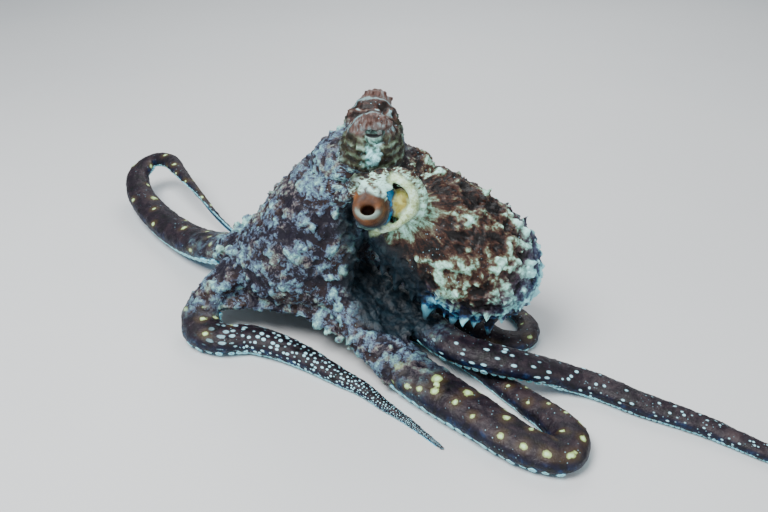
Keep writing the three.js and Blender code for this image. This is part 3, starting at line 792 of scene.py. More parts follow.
points = skinPoints()
normals = readNormals(skin)
on = bodyPlaces(points)
rough = on["ragged"]
bent = points + 3.0 * np.stack([swirl(points, 7, 2, k) for k in (21, 22, 23)], -1)
drawn = unit(np.array([-0.55, -0.25, -0.8]))                   # the head's folds run down towards the arms
folded = bent - 0.55 * (bent @ drawn)[:, None] * drawn
creases = 1 - np.abs(swirl(folded, 9, 3, 5)) * 2.2
big = warts(bent, rough + on["sac"] * ease(on["fanOut"], 55, 90), surface["wartApart"], surface["wartWide"],
            31)
small = warts(bent, rough + on["turret"] + on["sac"] * ease(on["fanOut"], 28, 70), surface["fineApart"],
              surface["fineWide"], 41)
fan = np.stack(fanPlace(on), -1)
fanBent = fan + 1.6 * np.stack([swirl(points, 12, 2, k) for k in (51, 52, 53)], -1)
streaks = 1 - np.abs(swirl(fanBent, 6.5, 2, 61)) * 2.4
broad = swirl(fanBent, 13, 2, 62)
spread = ease(on["fanOut"], 12, 60)
fanned = ease(on["fanOut"], 24, 40) * on["nearSide"]
foldCoords = np.stack([on["fanOut"] * 2.6, fan[:, 0] * 0.5, fan[:, 1] * 0.5], -1)
folds = swirl(foldCoords, 7, 2, 63) * ease(-on["fanOut"], -38, -24)
crags = 1 - np.abs(swirl(bent, 12, 3, 64)) * 2.3
lump = swirl(points, 15, 3, 71)
armCoords = np.stack([on["grown"] * 5, on["around"] * 5, on["armNumber"] * 40], -1)
wrinkles = 1 - np.abs(swirl(armCoords * [0.8, 2.2, 1], 5, 2, 81)) * 2
rings = np.sin(on["turretHigh"] * 2 * math.pi / surface["ringApart"] + 1.2 * swirl(points, 12, 2, 91))

ragged = (rough * (surface["lumps"] * lump + surface["creases"] * creases * 0.8
                   + surface["wartHigh"] * big + surface["fineHigh"] * small - 1.0))
sacHeight = on["sac"] * (1 - on["ochre"]) * (1 - on["lip"]) * (
    surface["streaks"] * fanned * (0.7 * streaks + 0.8 * broad) + surface["folds"] * folds + spread * (
        surface["sacWarts"] * big + surface["fineHigh"] * small + surface["crags"] * crags) - 0.8)
armTopside = on["plain"] * ease(-np.abs(on["around"]), -1.7, -1.1)
armWarts = warts(bent, armTopside, surface["armWartApart"], surface["armWartWide"], 47)
armHeightMap = (on["plain"] * (surface["wrinkles"] * wrinkles + 0.3 * swirl(points, 5, 2, 95))
                + surface["armWarts"] * armTopside * armWarts)
turretHeight = on["turret"] * (ease(on["turretHigh"], 12, 22) * surface["rings"] * rings + 0.4 * lump
                               + ease(-on["turretHigh"], -34, -24) * (0.9 * creases + 1.2 * small - 0.3))
under = ease(points[:, 2], 0.5, 6)
height = (ragged + sacHeight * (1 - ease(on["sacGap"], 0.8, 2.6)) + turretHeight) * under + armHeightMap
height += on["sac"] * 0.5 * swirl(points, 3.4, 2, 99) * ease(on["sacGap"], 1.5, 3.5)
height *= 1 - on["funnel"]
height *= 1 - 0.8 * on["lip"]
pleats = np.sin(on["eyeX"] * 2 * math.pi / lids["pleatApart"] + 2.6 * swirl(points, 7, 2, 97))
height += lids["pleats"] * pleats * ease(-on["hoodGap"], -1.5, -0.5) * (on["eyeY"] > 0)
lidded = ease(on["hoodGap"], 0.3, 3.5) * ease(on["eyeOff"], 12.5, 16)
height = np.where(on["hoodGap"] < 0.3, height, height * (0.2 + 0.8 * lidded))
points = points + normals * height[:, None]
points[:, 2] = np.maximum(points[:, 2], skinForm["seat"])
relief = np.clip(0.5 + 0.5 * (rough * (0.5 * creases + 0.5 * lump + 1.1 * big + 0.5 * small - 0.6)
                              + on["sac"] * (fanned * (0.6 * streaks + 0.5 * broad) + 0.3 * folds
                                              + spread * (1.3 * big + 0.4 * small + 0.4 * crags) - 0.6)
                              + on["plain"] * 0.4 * wrinkles + on["turret"] * 0.5 * rings), 0, 1)
writePoints(skin, place(points))
applyModifier(skin, "SMOOTH", iterations=1, factor=0.35)

# the lids part in front of each eyeball, so the skin there drops behind its surface
points = skinPoints()
for side in (-1, 1):
    middle, fore, up, out = eyeAxes(side)
    v = points - middle
    x, y, z = v @ fore, v @ up, v @ out
    gape = np.hypot(x / eyes["gape"][0], (y - eyes["gape"][2]) / eyes["gape"][1])
    inside = ease(-gape, -1.12, -0.9) * (z > 0) * (np.linalg.norm(v, axis=1) < 16)
    target = middle + unit(v) * (eyes["radius"] - 1.3)
    points = mix(points, target, inside[:, None])
writePoints(skin, place(points))
detailed = skinPoints()

faces = len(skin.data.polygons) * 2
applyModifier(skin, "TRIANGULATE")
applyModifier(skin, "DECIMATE", ratio=skinForm["triangles"] / faces)
selectOnly(skin)
bpy.ops.object.shade_smooth()
print("skin:", len(skin.data.polygons), "triangles")

# Markings
# Spots on the arms: way along in mm, degrees round from the top of the arm, radius in mm.
spots = {
    "arm_left_3": [(59, 65, 3.2), (75, 34, 4.0), (112, 33, 3.6), (139, 4, 3.9), (162, -11, 3.3),
                   (163, -62, 2.4),
                   (192, -13, 2.6), (104, 92, 2.2), (114, 84, 2.2), (126, 63, 2.4), (135, 50, 2.4),
                   (145, 34, 3.0), (161, 30, 2.2), (176, 37, 1.8), (198, 40, 2.2), (211, 37, 2.4),
                   (223, 36, 2.4), (232, 39, 2.2), (243, 33, 2.2), (186, -46, 2.2), (201, -62, 1.7),
                   (209, -28, 1.9), (214, -52, 1.6), (220, -64, 1.6), (227, -39, 1.9), (246, -27, 1.9),
                   (255, 56, 1.9), (264, 36, 1.7), (275, 12, 1.6), (284, 70, 1.8), (285, -32, 1.5),
                   (297, 42, 1.6), (305, -19, 1.5), (318, 28, 1.4), (330, -25, 1.3), (343, 22, 1.2),
                   (357, -20, 1.1), (372, 18, 1.0), (125, -74, 2.2), (146, -78, 2.0), (178, -84, 1.8)],
    "arm_left_1": [(310, 72, 2.8), (301, -49, 3.0), (241, 27, 3.4), (250, 84, 3.0), (270, 48, 2.2),
                   (251, -59, 2.4), (204, -59, 2.4), (166, -7, 2.8), (184, 42, 2.8), (111, -40, 2.8),
                   (136, -78, 2.4), (359, 27, 2.1), (350, 98, 1.8), (372, 88, 1.5), (294, 96, 1.7),
                   (390, 84, 1.7), (391, -26, 1.9), (416, 86, 1.5), (406, -13, 1.6), (426, 46, 1.6),
                   (316, -52, 2.4), (334, 10, 2.2), (222, -12, 1.8), (140, 22, 2.4), (124, -10, 2.0)],
    "arm_left_2": [(86, -22, 2.6), (95, -2, 2.4), (102, -26, 2.0), (122, -3, 2.6), (120, -40, 2.6),
                   (150, -28, 2.0), (74, 22, 2.6), (108, 30, 2.2), (136, 34, 2.0)],
}
spotRows = dict(arms=("arm_right_4", "arm_right_3", "arm_right_2", "arm_right_1"), start=84, apart=17,
                degrees=(38, -34, 8, -66, 66), wide=0.17, seed=5)
dotty = {"arm_left_2": (128, 160), "arm_left_4": (96, 120), "arm_left_1": (420, 470),
         "arm_left_3": (400, 430),
         "arm_right_4": (200, 240), "arm_right_3": (220, 260), "arm_right_2": (220, 260),
         "arm_right_1": (240, 280)}
rowSeed = np.random.default_rng(spotRows["seed"])
for name in spotRows["arms"]:
    ways = np.arange(spotRows["start"], arms[name]["length"] - 30, spotRows["apart"])
    spots[name] = [(way + rowSeed.uniform(-5, 5), spotRows["degrees"][k % 5] + rowSeed.uniform(-9, 9),
                    spotRows["wide"] * float(armHalfWidth(arms[name], way)) * rowSeed.uniform(0.8, 1.3))
                   for k, way in enumerate(ways)]

shades = [((4, -6, 60), (33, 30, 38), 1.0), ((9, -15, 34), (32, 20, 19), 1.0),
          ((-24, -6, 100), (7, 14, 24), 0.9),
          ((-9, -20, 111), (13, 15, 11), 0.9)]


def spotOffsets(on):
    # offsets from the nearest spot in spot radii, along and round the arm, and how near its halo is
    count = len(on["along"])
    best, offAlong, offRound, halo = np.full((4, count), 9.0)
    dots = np.zeros(count)
    for number, (name, arm) in enumerate(arms.items()):
        mine = on["armNumber"] == number
        wide = armHalfWidth(arm, on["along"])
        for way, degrees, radius in spots.get(name, []):
            turn = (on["around"] - math.radians(degrees) + math.pi) % (2 * math.pi) - math.pi
            x, y = (on["along"] - way) / radius, turn * wide * 0.86 / radius
            closer = mine & (np.hypot(x, y) < best)
            best = np.where(closer, np.hypot(x, y), best)
            offAlong, offRound = np.where(closer, x, offAlong), np.where(closer, y, offRound)
            halo = np.where(mine, np.minimum(halo, np.hypot(x, y) * radius / (radius + 4)), halo)
        dots = np.where(mine, ease(on["along"], *dotty[name]), dots)
    return best, offAlong, offRound, halo, dots


def palePatches(points):
    pale = np.zeros(len(points))
    for spot, radius, strength in knobs:
        off = np.linalg.norm(points - np.array(spot), axis=1)
        pale = np.maximum(pale, strength * ease(-off, -1.7 * radius, -0.9 * radius))
    for line, (_, radius) in zip(ridgeLines, ridges):
        pale = np.maximum(pale, ease(-nearest(points, line)[1], -2.0 * radius, -0.7 * radius))
    return pale * (0.5 + 0.5 * ease(swirl(points, 5, 2, 77), -0.45, 0.35))


def writePlace(piece, name, *values):
    layer = piece.data.attributes.new(name, "FLOAT_VECTOR", "POINT")
    layer.data.foreach_set("vector", np.stack(values, -1).astype(np.float32).ravel())


final = skinPoints()
on = bodyPlaces(final)
carried = relief[nearestGrid(final, detailed)]
spotOff, spotAlong, spotRound, halo, dots = spotOffsets(on)
shade = np.zeros(len(final))
for middle, radii, strength in shades:
    shade = np.maximum(shade, strength * ease(-ellipsoidGap(final, middle, radii), -5, 6))
shade *= 1 - np.clip(on["funnel"] + on["lip"] + on["ochre"], 0, 1)
writePlace(skin, "regionA", on["ragged"], on["sac"], on["turret"])
writePlace(skin, "regionB", on["plain"], on["funnel"], on["ochre"])
writePlace(skin, "regionC", on["lip"], carried, shade)
writePlace(skin, "armPlace", on["grown"], on["around"], on["armNumber"])
writePlace(skin, "spotPlace", spotAlong, spotRound, spotOff)
writePlace(skin, "spotMore", halo, dots, palePatches(final))
writePlace(skin, "fanPlace", *fanPlace(on))
writePlace(skin, "bodyPlace", on["fanOut"], np.sin(on["sacAround"]), on["eyeOff"])
writePlace(skin, "lidPlace", on["eyeX"], on["eyeY"], on["hoodGap"])
writePlace(skin, "funnelPlace", on["funnelShare"], on["funnelLip"], on["strip"])
writePlace(skin, "tipPlace", on["sacGap"], on["nearSide"], on["lipGap"])


# Materials
# every colour is drawn through these: stronger contrast about a middle grey, then a cool cast, the blue
# light of the water painted into every colour
tone = dict(middle=0.42, contrast=1.25, cast=np.array([0.79, 0.97, 1.04]), least=0.012)


def paint(*rgb):
    # screen colour 0 to 255 into the shader's linear colour
    c = tone["middle"] + (np.array(rgb) / 255 - tone["middle"]) * tone["contrast"]
    # the cast tints each colour with painted blue water light
    c = np.clip(c * tone["cast"], tone["least"], 1)
    return (*np.where(c <= 0.04045, c / 12.92, ((c + 0.055) / 1.055) ** 2.4), 1.0)


def newMaterial(name):
    material = bpy.data.materials.new(name)
    material.use_nodes = True
    return material, material.node_tree, material.node_tree.nodes["Principled BSDF"]


def put(tree, kind, inputs=None, **settings):
    new = tree.nodes.new(kind)
    for key, value in settings.items():
        setattr(new, key, value)
    for key, value in (inputs or {}).items():
        if isinstance(value, bpy.types.NodeSocket):
            tree.links.new(value, new.inputs[key])
        else:
            new.inputs[key].default_value = value
    return new


def sums(tree, operation, *values):
    return put(tree, "ShaderNodeMath", dict(enumerate(values)), operation=operation).outputs[0]


def times(tree, *values):
    total = values[0]
    for value in values[1:]:
        total = sums(tree, "MULTIPLY", total, value)
    return total


def weigh(tree, *terms):
    # values added up, each times its weight; a third number is taken off its value first
    total = None
    for value, weight, *middle in terms:
        if middle:
            value = sums(tree, "SUBTRACT", value, middle[0])
        if weight != 1:
            value = sums(tree, "MULTIPLY", value, weight)
        total = value if total is None else sums(tree, "ADD", total, value)
    return total


def band(tree, value, low, high, to=(0.0, 1.0)):
    # 0 below low, 1 above high and smooth between
    ends = {"Value": value, "From Min": low, "From Max": high, "To Min": to[0], "To Max": to[1]}
    return put(tree, "ShaderNodeMapRange", ends, interpolation_type="SMOOTHSTEP").outputs["Result"]


def over(tree, share, under, top):
    # colour top laid over colour under
    return put(tree, "ShaderNodeMix", {0: share, 6: under, 7: top}, data_type="RGBA").outputs[2]


def grain(tree, vector, scale, detail=3.0, distortion=0.0):
    return put(tree, "ShaderNodeTexNoise", {"Vector": vector, "Scale": scale, "Detail": detail,
                                            "Distortion": distortion}).outputs["Fac"]


def cells(tree, vector, scale, randomness=1.0):
    return put(tree, "ShaderNodeTexVoronoi", {"Vector": vector, "Scale": scale,
                                              "Randomness": randomness}).outputs["Distance"]


def stretch(tree, vector, scale):
    return put(tree, "ShaderNodeMapping", {"Vector": vector, "Scale": scale}).outputs["Vector"]


def wetSheen():
    # roughness that varies in small grains, shared by everything moist
    group = bpy.data.node_groups.new("wetSheen", "ShaderNodeTree")
    group.interface.new_socket("Vector", in_out="INPUT", socket_type="NodeSocketVector")
    for name in ("Scale", "Low", "High"):
        group.interface.new_socket(name, in_out="INPUT", socket_type="NodeSocketFloat")
    for name in ("Grain", "Roughness"):
        group.interface.new_socket(name, in_out="OUTPUT", socket_type="NodeSocketFloat")
    given = put(group, "NodeGroupInput").outputs
    noise = grain(group, given["Vector"], given["Scale"], 4)
    ends = {"Value": noise, "From Min": 0.3, "From Max": 0.75, "To Min": given["Low"],
            "To Max": given["High"]}
    rough = put(group, "ShaderNodeMapRange", ends).outputs["Result"]
    put(group, "NodeGroupOutput", {"Grain": noise, "Roughness": rough})
    return group


def sheen(tree, vector, scale, low, high):
    node = put(tree, "ShaderNodeGroup", node_tree=wet)
    tree.links.new(vector, node.inputs["Vector"])
    for key, value in (("Scale", scale), ("Low", low), ("High", high)):
        node.inputs[key].default_value = value
    return node.outputs["Grain"], node.outputs["Roughness"]


def attribute(tree, name):
    return put(tree, "ShaderNodeAttribute", attribute_name=name).outputs["Vector"]


def parts(tree, name):
    return put(tree, "ShaderNodeSeparateXYZ", {0: attribute(tree, name)}).outputs[:3]


def steps(tree, value, *stops):
    ramp = put(tree, "ShaderNodeValToRGB", {"Fac": value})
    marks = ramp.color_ramp.elements
    while len(marks) < len(stops):
        marks.new(0.5)
    for mark, (at, colour) in zip(marks, stops):
        mark.position, mark.color = at, colour
    return ramp.outputs["Color"]


wet = wetSheen()
skinMaterial, t, shader = newMaterial("octopusSkin")
spaceVector = put(t, "ShaderNodeTexCoord").outputs["Object"]
ragged, sac, turretPart = parts(t, "regionA")
plain, funnelPart, ochrePart = parts(t, "regionB")
lipPart, reliefPart, shadePart = parts(t, "regionC")
armVector, around = attribute(t, "armPlace"), parts(t, "armPlace")[1]
spotVector, spotOff = attribute(t, "spotPlace"), parts(t, "spotPlace")[2]
haloOff, dotShare, pale = parts(t, "spotMore")
fanVector = attribute(t, "fanPlace")
fanOut, sacTop, eyeOff = parts(t, "bodyPlace")
lidVector, (eyeX, eyeY, hoodGap) = attribute(t, "lidPlace"), parts(t, "lidPlace")
funnelWay, funnelLip, stripPart = parts(t, "funnelPlace")
sacGap, nearSide, lipGap = parts(t, "tipPlace")
cloud = grain(t, spaceVector, 42, 3)
mottle = grain(t, spaceVector, 170, 5, 0.5)
blotch = grain(t, spaceVector, 340, 4, 1.2)
fine, skinRough = sheen(t, spaceVector, 900, 0.4, 0.62)

# arms: brown above, blue black at the sides partly as painted shade, pale under, with ringed spots and rows
# of white dots
aroundOff = sums(t, "ABSOLUTE", around)
armTone = weigh(t, (mottle, 0.55), (cloud, 0.45))
armTop = steps(t, armTone, (0.34, paint(24, 16, 26)), (0.5, paint(48, 33, 42)), (0.68, paint(82, 60, 60)))
# the sides' blue is the arm's own colour, and its near-black darkness is painted shade
armSideAndShade = steps(t, mottle, (0.3, paint(8, 12, 24)), (0.55, paint(22, 32, 54)), (0.8, paint(46, 74, 104)))
armColour = over(t, band(t, weigh(t, (aroundOff, 1), (cloud, 0.9)), 1.35, 2.0), armTop, armSideAndShade)
armColour = over(t, band(t, aroundOff, 2.15, 2.6), armColour, paint(92, 126, 146))
haloShare = times(t, band(t, weigh(t, (haloOff, 1), (mottle, 0.8)), 1.5, 0.75), 0.4)
armColour = over(t, haloShare, armColour, paint(112, 80, 54))
flatSpot = stretch(t, spotVector, (1, 1, 0))
spotReach = put(t, "ShaderNodeVectorMath", {0: flatSpot}, operation="LENGTH").outputs["Value"]
spotReach = weigh(t, (spotReach, 1), (blotch, 0.9, 0.5))
spotShare = times(t, band(t, spotReach, 1.0, 0.7), band(t, spotOff, 1.25, 1.05))
spotCore = over(t, band(t, spotReach, 0.25, 0.7), paint(232, 226, 168), paint(188, 178, 110))
armColour = over(t, spotShare, armColour, spotCore)
dotCells = band(t, cells(t, stretch(t, armVector, (1.9, 2.4, 7.3)), 1.0, 0.6), 0.33, 0.2)
armColour = over(t, times(t, dotCells, dotShare), armColour, paint(204, 220, 224))

# web and head: purple brown in the creases, mauve grey between, cream on lumps and towards the head
creamSpot = {0: spaceVector, 1: tuple(place((-4, -8, 131)))}
creamOff = put(t, "ShaderNodeVectorMath", creamSpot, operation="DISTANCE").outputs["Value"]
headward = band(t, times(t, creamOff, 1000.0), 42, 16)
wrinkled = weigh(t, (grain(t, stretch(t, spaceVector, (1, 1, 2.6)), 210, 4, 1.6), 1.5, 0.56))
level = weigh(t, (reliefPart, 0.34), (mottle, 0.5), (blotch, 0.5, 0.5), (fine, 0.3, 0.5), (cloud, 0.5, 0.5),
              (headward, wrinkled), (pale, 0.24))
rusty = band(t, grain(t, spaceVector, 75, 3, 0.8), 0.5, 0.62, (0.0, 0.75))
raggedMiddle = over(t, rusty, paint(108, 106, 118), paint(120, 86, 74))
raggedLight = over(t, rusty, paint(132, 148, 146), paint(156, 142, 118))
raggedDark = over(t, band(t, cloud, 0.4, 0.6), paint(40, 32, 44), paint(66, 44, 38))
raggedColour = paint(58, 48, 60)
for low, high, layer in ((0.33, 0.43, raggedMiddle), (0.43, 0.53, raggedLight),
                         (0.53, 0.66, paint(180, 196, 176)),
                         (0.66, 0.84, paint(224, 238, 210)), (0.4, 0.28, raggedDark)):
    raggedColour = over(t, band(t, level, low, high), raggedColour, layer)

# sac: streaks that fan out from the gill opening
farSide = sums(t, "SUBTRACT", 1.0, nearSide)
streakNoise = weigh(t, (grain(t, fanVector, 0.2, 4, 0.5), nearSide),
                    (grain(t, spaceVector, 90, 4, 0.8), farSide))
streaky = times(t, weigh(t, (grain(t, fanVector, 0.8, 3, 0.3), 1, 0.5)),
                band(t, fanOut, 20, 42, (0.1, 0.35)))
headLines = sums(t, "SUBTRACT", times(t, wrinkled, 1.2), 0.01)
collarReach = weigh(t, (fanOut, 1), (mottle, 14.0))
sacLevel = weigh(t, (reliefPart, band(t, fanOut, 26, 44, (0.15, 0.42))), (streakNoise, 0.62),
                 (band(t, fanOut, 44, 26, (0.0, 0.1)), 1), (streaky, 1), (mottle, 0.3, 0.5),
                 (cloud, 0.3, 0.5),
                 (band(t, collarReach, 40, 24), 0.26), (pale, 0.24), (headward, headLines),
                 (blotch, 0.3, 0.5), (band(t, sacGap, 2.5, 6.0), 0.2))
sacColour = steps(t, sacLevel, (0.39, paint(30, 17, 18)), (0.5, paint(86, 50, 40)),
                  (0.58, paint(122, 98, 78)),
                  (0.66, paint(164, 178, 148)), (0.79, paint(226, 242, 208)))
# the sac's underside and tip turn blue; the darkest blues low on the underside are painted shade
blueUnder = times(t, band(t, weigh(t, (sacTop, 1), (mottle, 0.6, 0.5)), -0.22, -0.66), 0.92)
blueUnder = sums(t, "MAXIMUM", blueUnder, times(t, band(t, fanOut, 76, 116), 0.55))
blueAndShadeTones = steps(t, sacLevel, (0.38, paint(6, 30, 46)), (0.54, paint(28, 92, 130)),
                  (0.7, paint(150, 208, 230)))
sacColour = over(t, blueUnder, sacColour, blueAndShadeTones)

# turrets: brown lids, pale rings round the eye, mossy sides
ringWave = sums(t, "SINE", weigh(t, (eyeOff, 1.05), (mottle, 2.6)))
turretColour = steps(t, weigh(t, (ringWave, 0.16), (mottle, 0.9)), (0.3, paint(40, 27, 24)),
                     (0.5, paint(98, 62, 54)), (0.62, paint(134, 102, 88)), (0.74, paint(184, 202, 198)))
lidNoise = grain(t, stretch(t, lidVector, (0.6, 0.2, 0.12)), 1.0, 4, 0.6)
lidTone = weigh(t, (lidNoise, 0.5), (mottle, 0.5), (band(t, eyeY, 11.0, 5.0, (-0.03, 0.04)), 1))
lidColour = steps(t, lidTone, (0.36, paint(58, 34, 30)), (0.47, paint(108, 68, 58)),
                  (0.58, paint(134, 106, 98)),
                  (0.72, paint(170, 166, 160)))
palePatch = steps(t, grain(t, spaceVector, 230, 3), (0.36, paint(46, 52, 42)), (0.47, paint(120, 142, 128)),
                  (0.58, paint(204, 226, 216)))
belowEdge = weigh(t, (mottle, 12.0, 0.5))
belowWide = weigh(t, (sums(t, "ABSOLUTE", weigh(t, (eyeX, 1), (eyeY, -0.15))), 1), (belowEdge, 1))
below = times(t, band(t, eyeY, -4.0, -7.0), band(t, belowWide, 6.5, 3.5),
              band(t, weigh(t, (eyeY, 1), (belowEdge, 1)), -24.0, -15.0))
mossy = steps(t, weigh(t, (mottle, 0.6), (reliefPart, 0.35)), (0.3, paint(16, 18, 14)),
              (0.46, paint(62, 54, 36)),
              (0.58, paint(118, 116, 92)), (0.7, paint(188, 192, 166)))
turretColour = over(t, times(t, band(t, eyeY, 2.0, -3.0), 0.85), turretColour, mossy)
turretColour = over(t, below, turretColour, palePatch)
hoodEdge = weigh(t, (hoodGap, 1), (mottle, 4.0, 0.5))
ringLine = times(t, band(t, hoodEdge, 1.8, 2.6), band(t, hoodEdge, 4.4, 3.2), band(t, eyeY, -1.0, 5.0), 0.65)
turretColour = over(t, ringLine, turretColour, paint(160, 168, 162))
turretColour = over(t, band(t, hoodEdge, 2.3, 1.4), turretColour, lidColour)

# strip, funnel, ochre lining and lip
stripColour = steps(t, weigh(t, (stripPart, 0.7), (mottle, 0.6)), (0.5, paint(8, 26, 40)),
                    (0.84, paint(16, 70, 98)),
                    (1.05, paint(52, 138, 172)))
funnelColour = steps(t, weigh(t, (cloud, 0.6), (mottle, 0.4)), (0.36, paint(166, 94, 54)),
                     (0.52, paint(128, 76, 52)), (0.66, paint(90, 60, 50)))
# towards its root under the head the funnel turns dark teal: painted shade
funnelColour = over(t, band(t, funnelWay, 0.85, 0.4), funnelColour, paint(28, 56, 66))
funnelColour = over(t, times(t, funnelLip, 0.85), funnelColour, paint(176, 168, 150))
ochreColour = steps(t, mottle, (0.34, paint(142, 108, 58)), (0.5, paint(192, 150, 78)),
                    (0.66, paint(218, 184, 112)))
groove = times(t, band(t, lipGap, -0.2, 0.8), band(t, lipGap, 2.8, 1.2), sac,
               band(t, mottle, 0.36, 0.5, (0.35, 0.8)))
lipColour = steps(t, weigh(t, (mottle, 1), (fine, 0.6, 0.5)), (0.3, paint(166, 150, 98)),
                  (0.5, paint(216, 204, 152)),
                  (0.66, paint(244, 238, 198)))
speckled = times(t, band(t, cells(t, spaceVector, 330), 0.16, 0.06), band(t, cloud, 0.42, 0.58),
                 band(t, weigh(t, (funnelPart, 1), (ochrePart, 1), (lipPart, 1)), 0.3, 0.0, (0.0, 0.75)))
shadeTone = steps(t, mottle, (0.4, (0.002, 0.008, 0.014, 1)), (0.7, (0.008, 0.026, 0.04, 1)))
colour = raggedColour
for share, layer in ((plain, armColour), (sac, sacColour), (turretPart, turretColour),
                     (band(t, stripPart, 0.05, 0.7), stripColour), (funnelPart, funnelColour),
                     (ochrePart, ochreColour),
                     (groove, paint(104, 92, 70)), (lipPart, lipColour), (speckled, paint(186, 200, 200)),
                     (times(t, shadePart, 0.985), shadeTone)):
    colour = over(t, share, colour, layer)
t.links.new(colour, shader.inputs["Base Color"])
t.links.new(skinRough, shader.inputs["Roughness"])
shader.inputs["Specular IOR Level"].default_value = 0.36
skinGrain = weigh(t, (mottle, 0.7), (fine, 0.3), (times(t, streaky, sac), 2.0),
                  (times(t, blotch, ragged), 0.6),
                  (times(t, blotch, plain), 0.35))
bump = put(t, "ShaderNodeBump", {"Height": skinGrain, "Strength": 0.75, "Distance": 0.0014})
t.links.new(bump.outputs["Normal"], shader.inputs["Normal"])
skin.data.materials.clear()
skin.data.materials.append(skinMaterial)

# Eyeballs
eyeForm = dict(bulge=0.7, bulgeWide=0.75, slit=(4.2, 0.95), slitAt=-0.4)


def eyeShape(side):
    middle, fore, up, out = eyeAxes(side)

    def shape(t, angle):
        s, c = np.sin(t * math.pi)[:, None], np.cos(t * math.pi)[:, None]
        ray = out * c + s * (fore * np.cos(angle)[:, None] + up * np.sin(angle)[:, None])
        bulge = eyeForm["bulge"] * np.exp(-(t * math.pi / eyeForm["bulgeWide"]) ** 2)[:, None]
        return middle + ray * (eyes["radius"] - 0.1 + bulge)
    return shape


eyeMaterial, t, shader = newMaterial("eyeball")
eyeVector, (eyeX, eyeY, _) = attribute(t, "eyePlace"), parts(t, "eyePlace")
eyeWide = sums(t, "ABSOLUTE", eyeX)
curve = times(t, sums(t, "POWER", eyeWide, 2.0), -0.03)                          # the slit's ends turn down
slitHigh = sums(t, "ABSOLUTE", weigh(t, (eyeY, 1, eyeForm["slitAt"]), (curve, 1)))
slitOff = weigh(t, (sums(t, "POWER", sums(t, "DIVIDE", eyeWide, eyeForm["slit"][0]), 3.0), 1),
                (sums(t, "POWER", sums(t, "DIVIDE", slitHigh, eyeForm["slit"][1]), 2.0), 1))
irisNoise = grain(t, stretch(t, eyeVector, (0.3, 0.22, 0.22)), 1.0, 3, 0.8)
iris = steps(t, irisNoise, (0.34, paint(48, 56, 46)), (0.46, paint(104, 118, 104)),
             (0.56, paint(164, 180, 160)),
             (0.7, paint(222, 226, 206)))
aboveSlit = band(t, eyeY, eyeForm["slitAt"] - 0.6, eyeForm["slitAt"] + 1.6, (0.0, 0.8))
for share, layer in ((aboveSlit, paint(34, 36, 34)), (band(t, slitOff, 2.6, 1.1), paint(60, 44, 36)),
                     (band(t, slitOff, 1.15, 0.95), paint(3, 4, 6))):
    iris = over(t, share, iris, layer)
t.links.new(iris, shader.inputs["Base Color"])
t.links.new(sheen(t, eyeVector, 0.5, 0.07, 0.14)[1], shader.inputs["Roughness"])
shader.inputs["Coat Weight"].default_value = 0.8
shader.inputs["Coat Roughness"].default_value = 0.03
for side, name in ((-1, "left"), (1, "right")):
    ball = sleeve(f"eyeball_{name}", 48, 32, eyeShape(side))
    middle, fore, up, out = eyeAxes(side)
    v = readPoints(ball) * 1000 - shift - middle
    writePlace(ball, "eyePlace", v @ fore, v @ up, v @ out)
    selectOnly(ball)
    bpy.ops.object.shade_smooth()
    ball.data.materials.append(eyeMaterial)
    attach(ball, "root")
    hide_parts(f"eye_{name}")
print("eyeballs: 2")

# Suckers
# Two rows under each arm: start as a share of the web's reach, gap in sucker widths, size by the arm's
# half-width, place round the arm in degrees from its top.
suckers = dict(start=0.92, gap=1.04, size=0.19, degrees=124, least=0.6, sink=0.3, high=0.42, segments=8)
clearSelection()
bpy.ops.mesh.primitive_cylinder_add(vertices=suckers["segments"], radius=1, depth=1, end_fill_type="NGON")
cup = bpy.context.object
bpy.ops.object.mode_set(mode="EDIT")
bpy.ops.mesh.select_all(action="DESELECT")
bpy.ops.object.mode_set(mode="OBJECT")
for face in cup.data.polygons:
    face.select = face.normal.z > 0.9
bpy.ops.object.mode_set(mode="EDIT")
bpy.ops.mesh.inset(thickness=0.16, depth=0.16)
bpy.ops.mesh.inset(thickness=0.22, depth=-0.08)
bpy.ops.mesh.inset(thickness=0.26, depth=-0.34)
bpy.ops.mesh.poke()
bpy.ops.object.mode_set(mode="OBJECT")
facesOutward(cup)
cupPoints = readPoints(cup)
cupFaces = [list(face.vertices) for face in cup.data.polygons]
cupRim = np.clip(cupPoints[:, 2] * 1.2 + 0.35, 0, 1)
bpy.data.objects.remove(cup)
allPoints, allFaces = [], []
for number, (name, arm) in enumerate(arms.items()):
    for row in (-1, 1):
        way = suckers["start"] * arm["webbed"] + (0 if row < 0 else 3)
        while way < arm["length"] - 6:
            wide = float(armHalfWidth(arm, np.array([way]))[0])
            size = max(suckers["size"] * wide, suckers["least"])
            middle, ahead, side, up = [v[0] for v in armFrame(arm, np.array([way]))]
            turn = math.radians(suckers["degrees"]) * row
            outward = unit(side * math.sin(turn) * 1.1 + up * math.cos(turn))
            high = float(armHeight(arm, np.array([way]))[0])
            foot = middle + side * math.sin(turn) * wide * 0.86 + up * math.cos(turn) * high * 0.36
            cross = np.cross(outward, ahead)
            grownSize = size * (1 + 0.1 * math.sin(way * 1.7 + number))
            disc = (cupPoints[:, :1] * ahead + cupPoints[:, 1:2] * cross) * grownSize
            lift = cupPoints[:, 2:3] * suckers["high"] * 2 + suckers["sink"]
            cupAt = foot + disc + outward * lift * grownSize
            cupAt[:, 2] = np.maximum(cupAt[:, 2], 0.02 + 0.15 * (cupPoints[:, 2] < 0.3))
            start = len(allPoints) * len(cupPoints)
            allPoints.append(cupAt)
            allFaces += [[start + v for v in face] for face in cupFaces]
            way += 2 * grownSize * suckers["gap"]
mesh = bpy.data.meshes.new("suckers")
mesh.from_pydata(place(np.vstack(allPoints)).tolist(), [], allFaces)
suckerPiece = bpy.data.objects.new("suckers", mesh)
bpy.context.collection.objects.link(suckerPiece)
rims = np.tile(cupRim, len(allPoints))
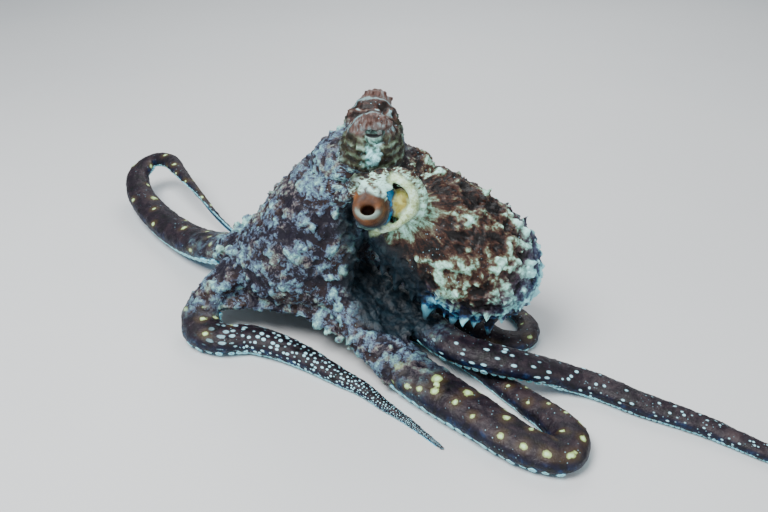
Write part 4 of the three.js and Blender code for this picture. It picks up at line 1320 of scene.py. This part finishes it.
writePlace(suckerPiece, "cupPlace", rims, rims, rims)
selectOnly(suckerPiece)
bpy.ops.object.shade_smooth()
suckerMaterial, t, shader = newMaterial("suckers")
rim = parts(t, "cupPlace")[0]
cupVector = put(t, "ShaderNodeTexCoord").outputs["Object"]
cupNoise, cupRough = sheen(t, cupVector, 500, 0.3, 0.46)
cupTone = weigh(t, (rim, 0.7), (cupNoise, 0.4))
cupColour = steps(t, cupTone, (0.25, paint(20, 54, 76)), (0.5, paint(60, 130, 160)),
                  (0.72, paint(140, 200, 216)),
                  (0.95, paint(206, 232, 236)))
t.links.new(cupColour, shader.inputs["Base Color"])
t.links.new(cupRough, shader.inputs["Roughness"])
suckerPiece.data.materials.append(suckerMaterial)
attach(suckerPiece, "root")
print("suckers:", len(allPoints), "of", len(cupFaces), "faces")
fleshNodes = [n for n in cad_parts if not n.startswith("eye_") or "turret" in n]
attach(skin, "root")
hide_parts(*fleshNodes)

# Room, light and camera
clearSelection()
bpy.ops.mesh.primitive_plane_add(size=6)
floor = bpy.context.object
floor.name = "floor"
floorMaterial, t, shader = newMaterial("floor")
floorVector = put(t, "ShaderNodeTexCoord").outputs["Object"]
floorTone = steps(t, grain(t, floorVector, 2.5, 3), (0.3, (0.7, 0.71, 0.715, 1)),
                  (0.7, (0.74, 0.75, 0.75, 1)))
t.links.new(floorTone, shader.inputs["Base Color"])
t.links.new(sheen(t, floorVector, 60, 0.66, 0.74)[1], shader.inputs["Roughness"])
floor.data.materials.append(floorMaterial)

lamps = dict(key=((-0.45, -0.45, 1.1), 0.6, 22), fill=((0.9, -0.7, 0.6), 0.9, 5),
             back=((0.1, 0.9, 0.9), 0.8, 7))
for name, (at, size, power) in lamps.items():
    clearSelection()
    bpy.ops.object.light_add(type="AREA", location=at)
    lamp = bpy.context.object
    lamp.name = name
    lamp.data.size, lamp.data.energy = size, power
    lamp.rotation_euler = (Vector((0, 0, 0.05)) - Vector(at)).to_track_quat("-Z", "Y").to_euler()
world = bpy.data.worlds.new("studio")
bpy.context.scene.world = world
world.use_nodes = True
world.node_tree.nodes["Background"].inputs["Color"].default_value = (0.8, 0.91, 1.0, 1)
world.node_tree.nodes["Background"].inputs["Strength"].default_value = 0.38

view = dict(pitch=30, lens=40, back=580, target=(0, 0, 70))
clearSelection()
tilt = math.radians(view["pitch"])
spot = np.array(view["target"]) - np.array([0, math.cos(tilt), -math.sin(tilt)]) * view["back"]
bpy.ops.object.camera_add(location=place(spot), rotation=(math.pi / 2 - tilt, 0, 0))
camera = bpy.context.object
camera.data.lens, camera.data.sensor_width = view["lens"], 36
camera.data.clip_start = 0.01
bpy.context.scene.camera = camera
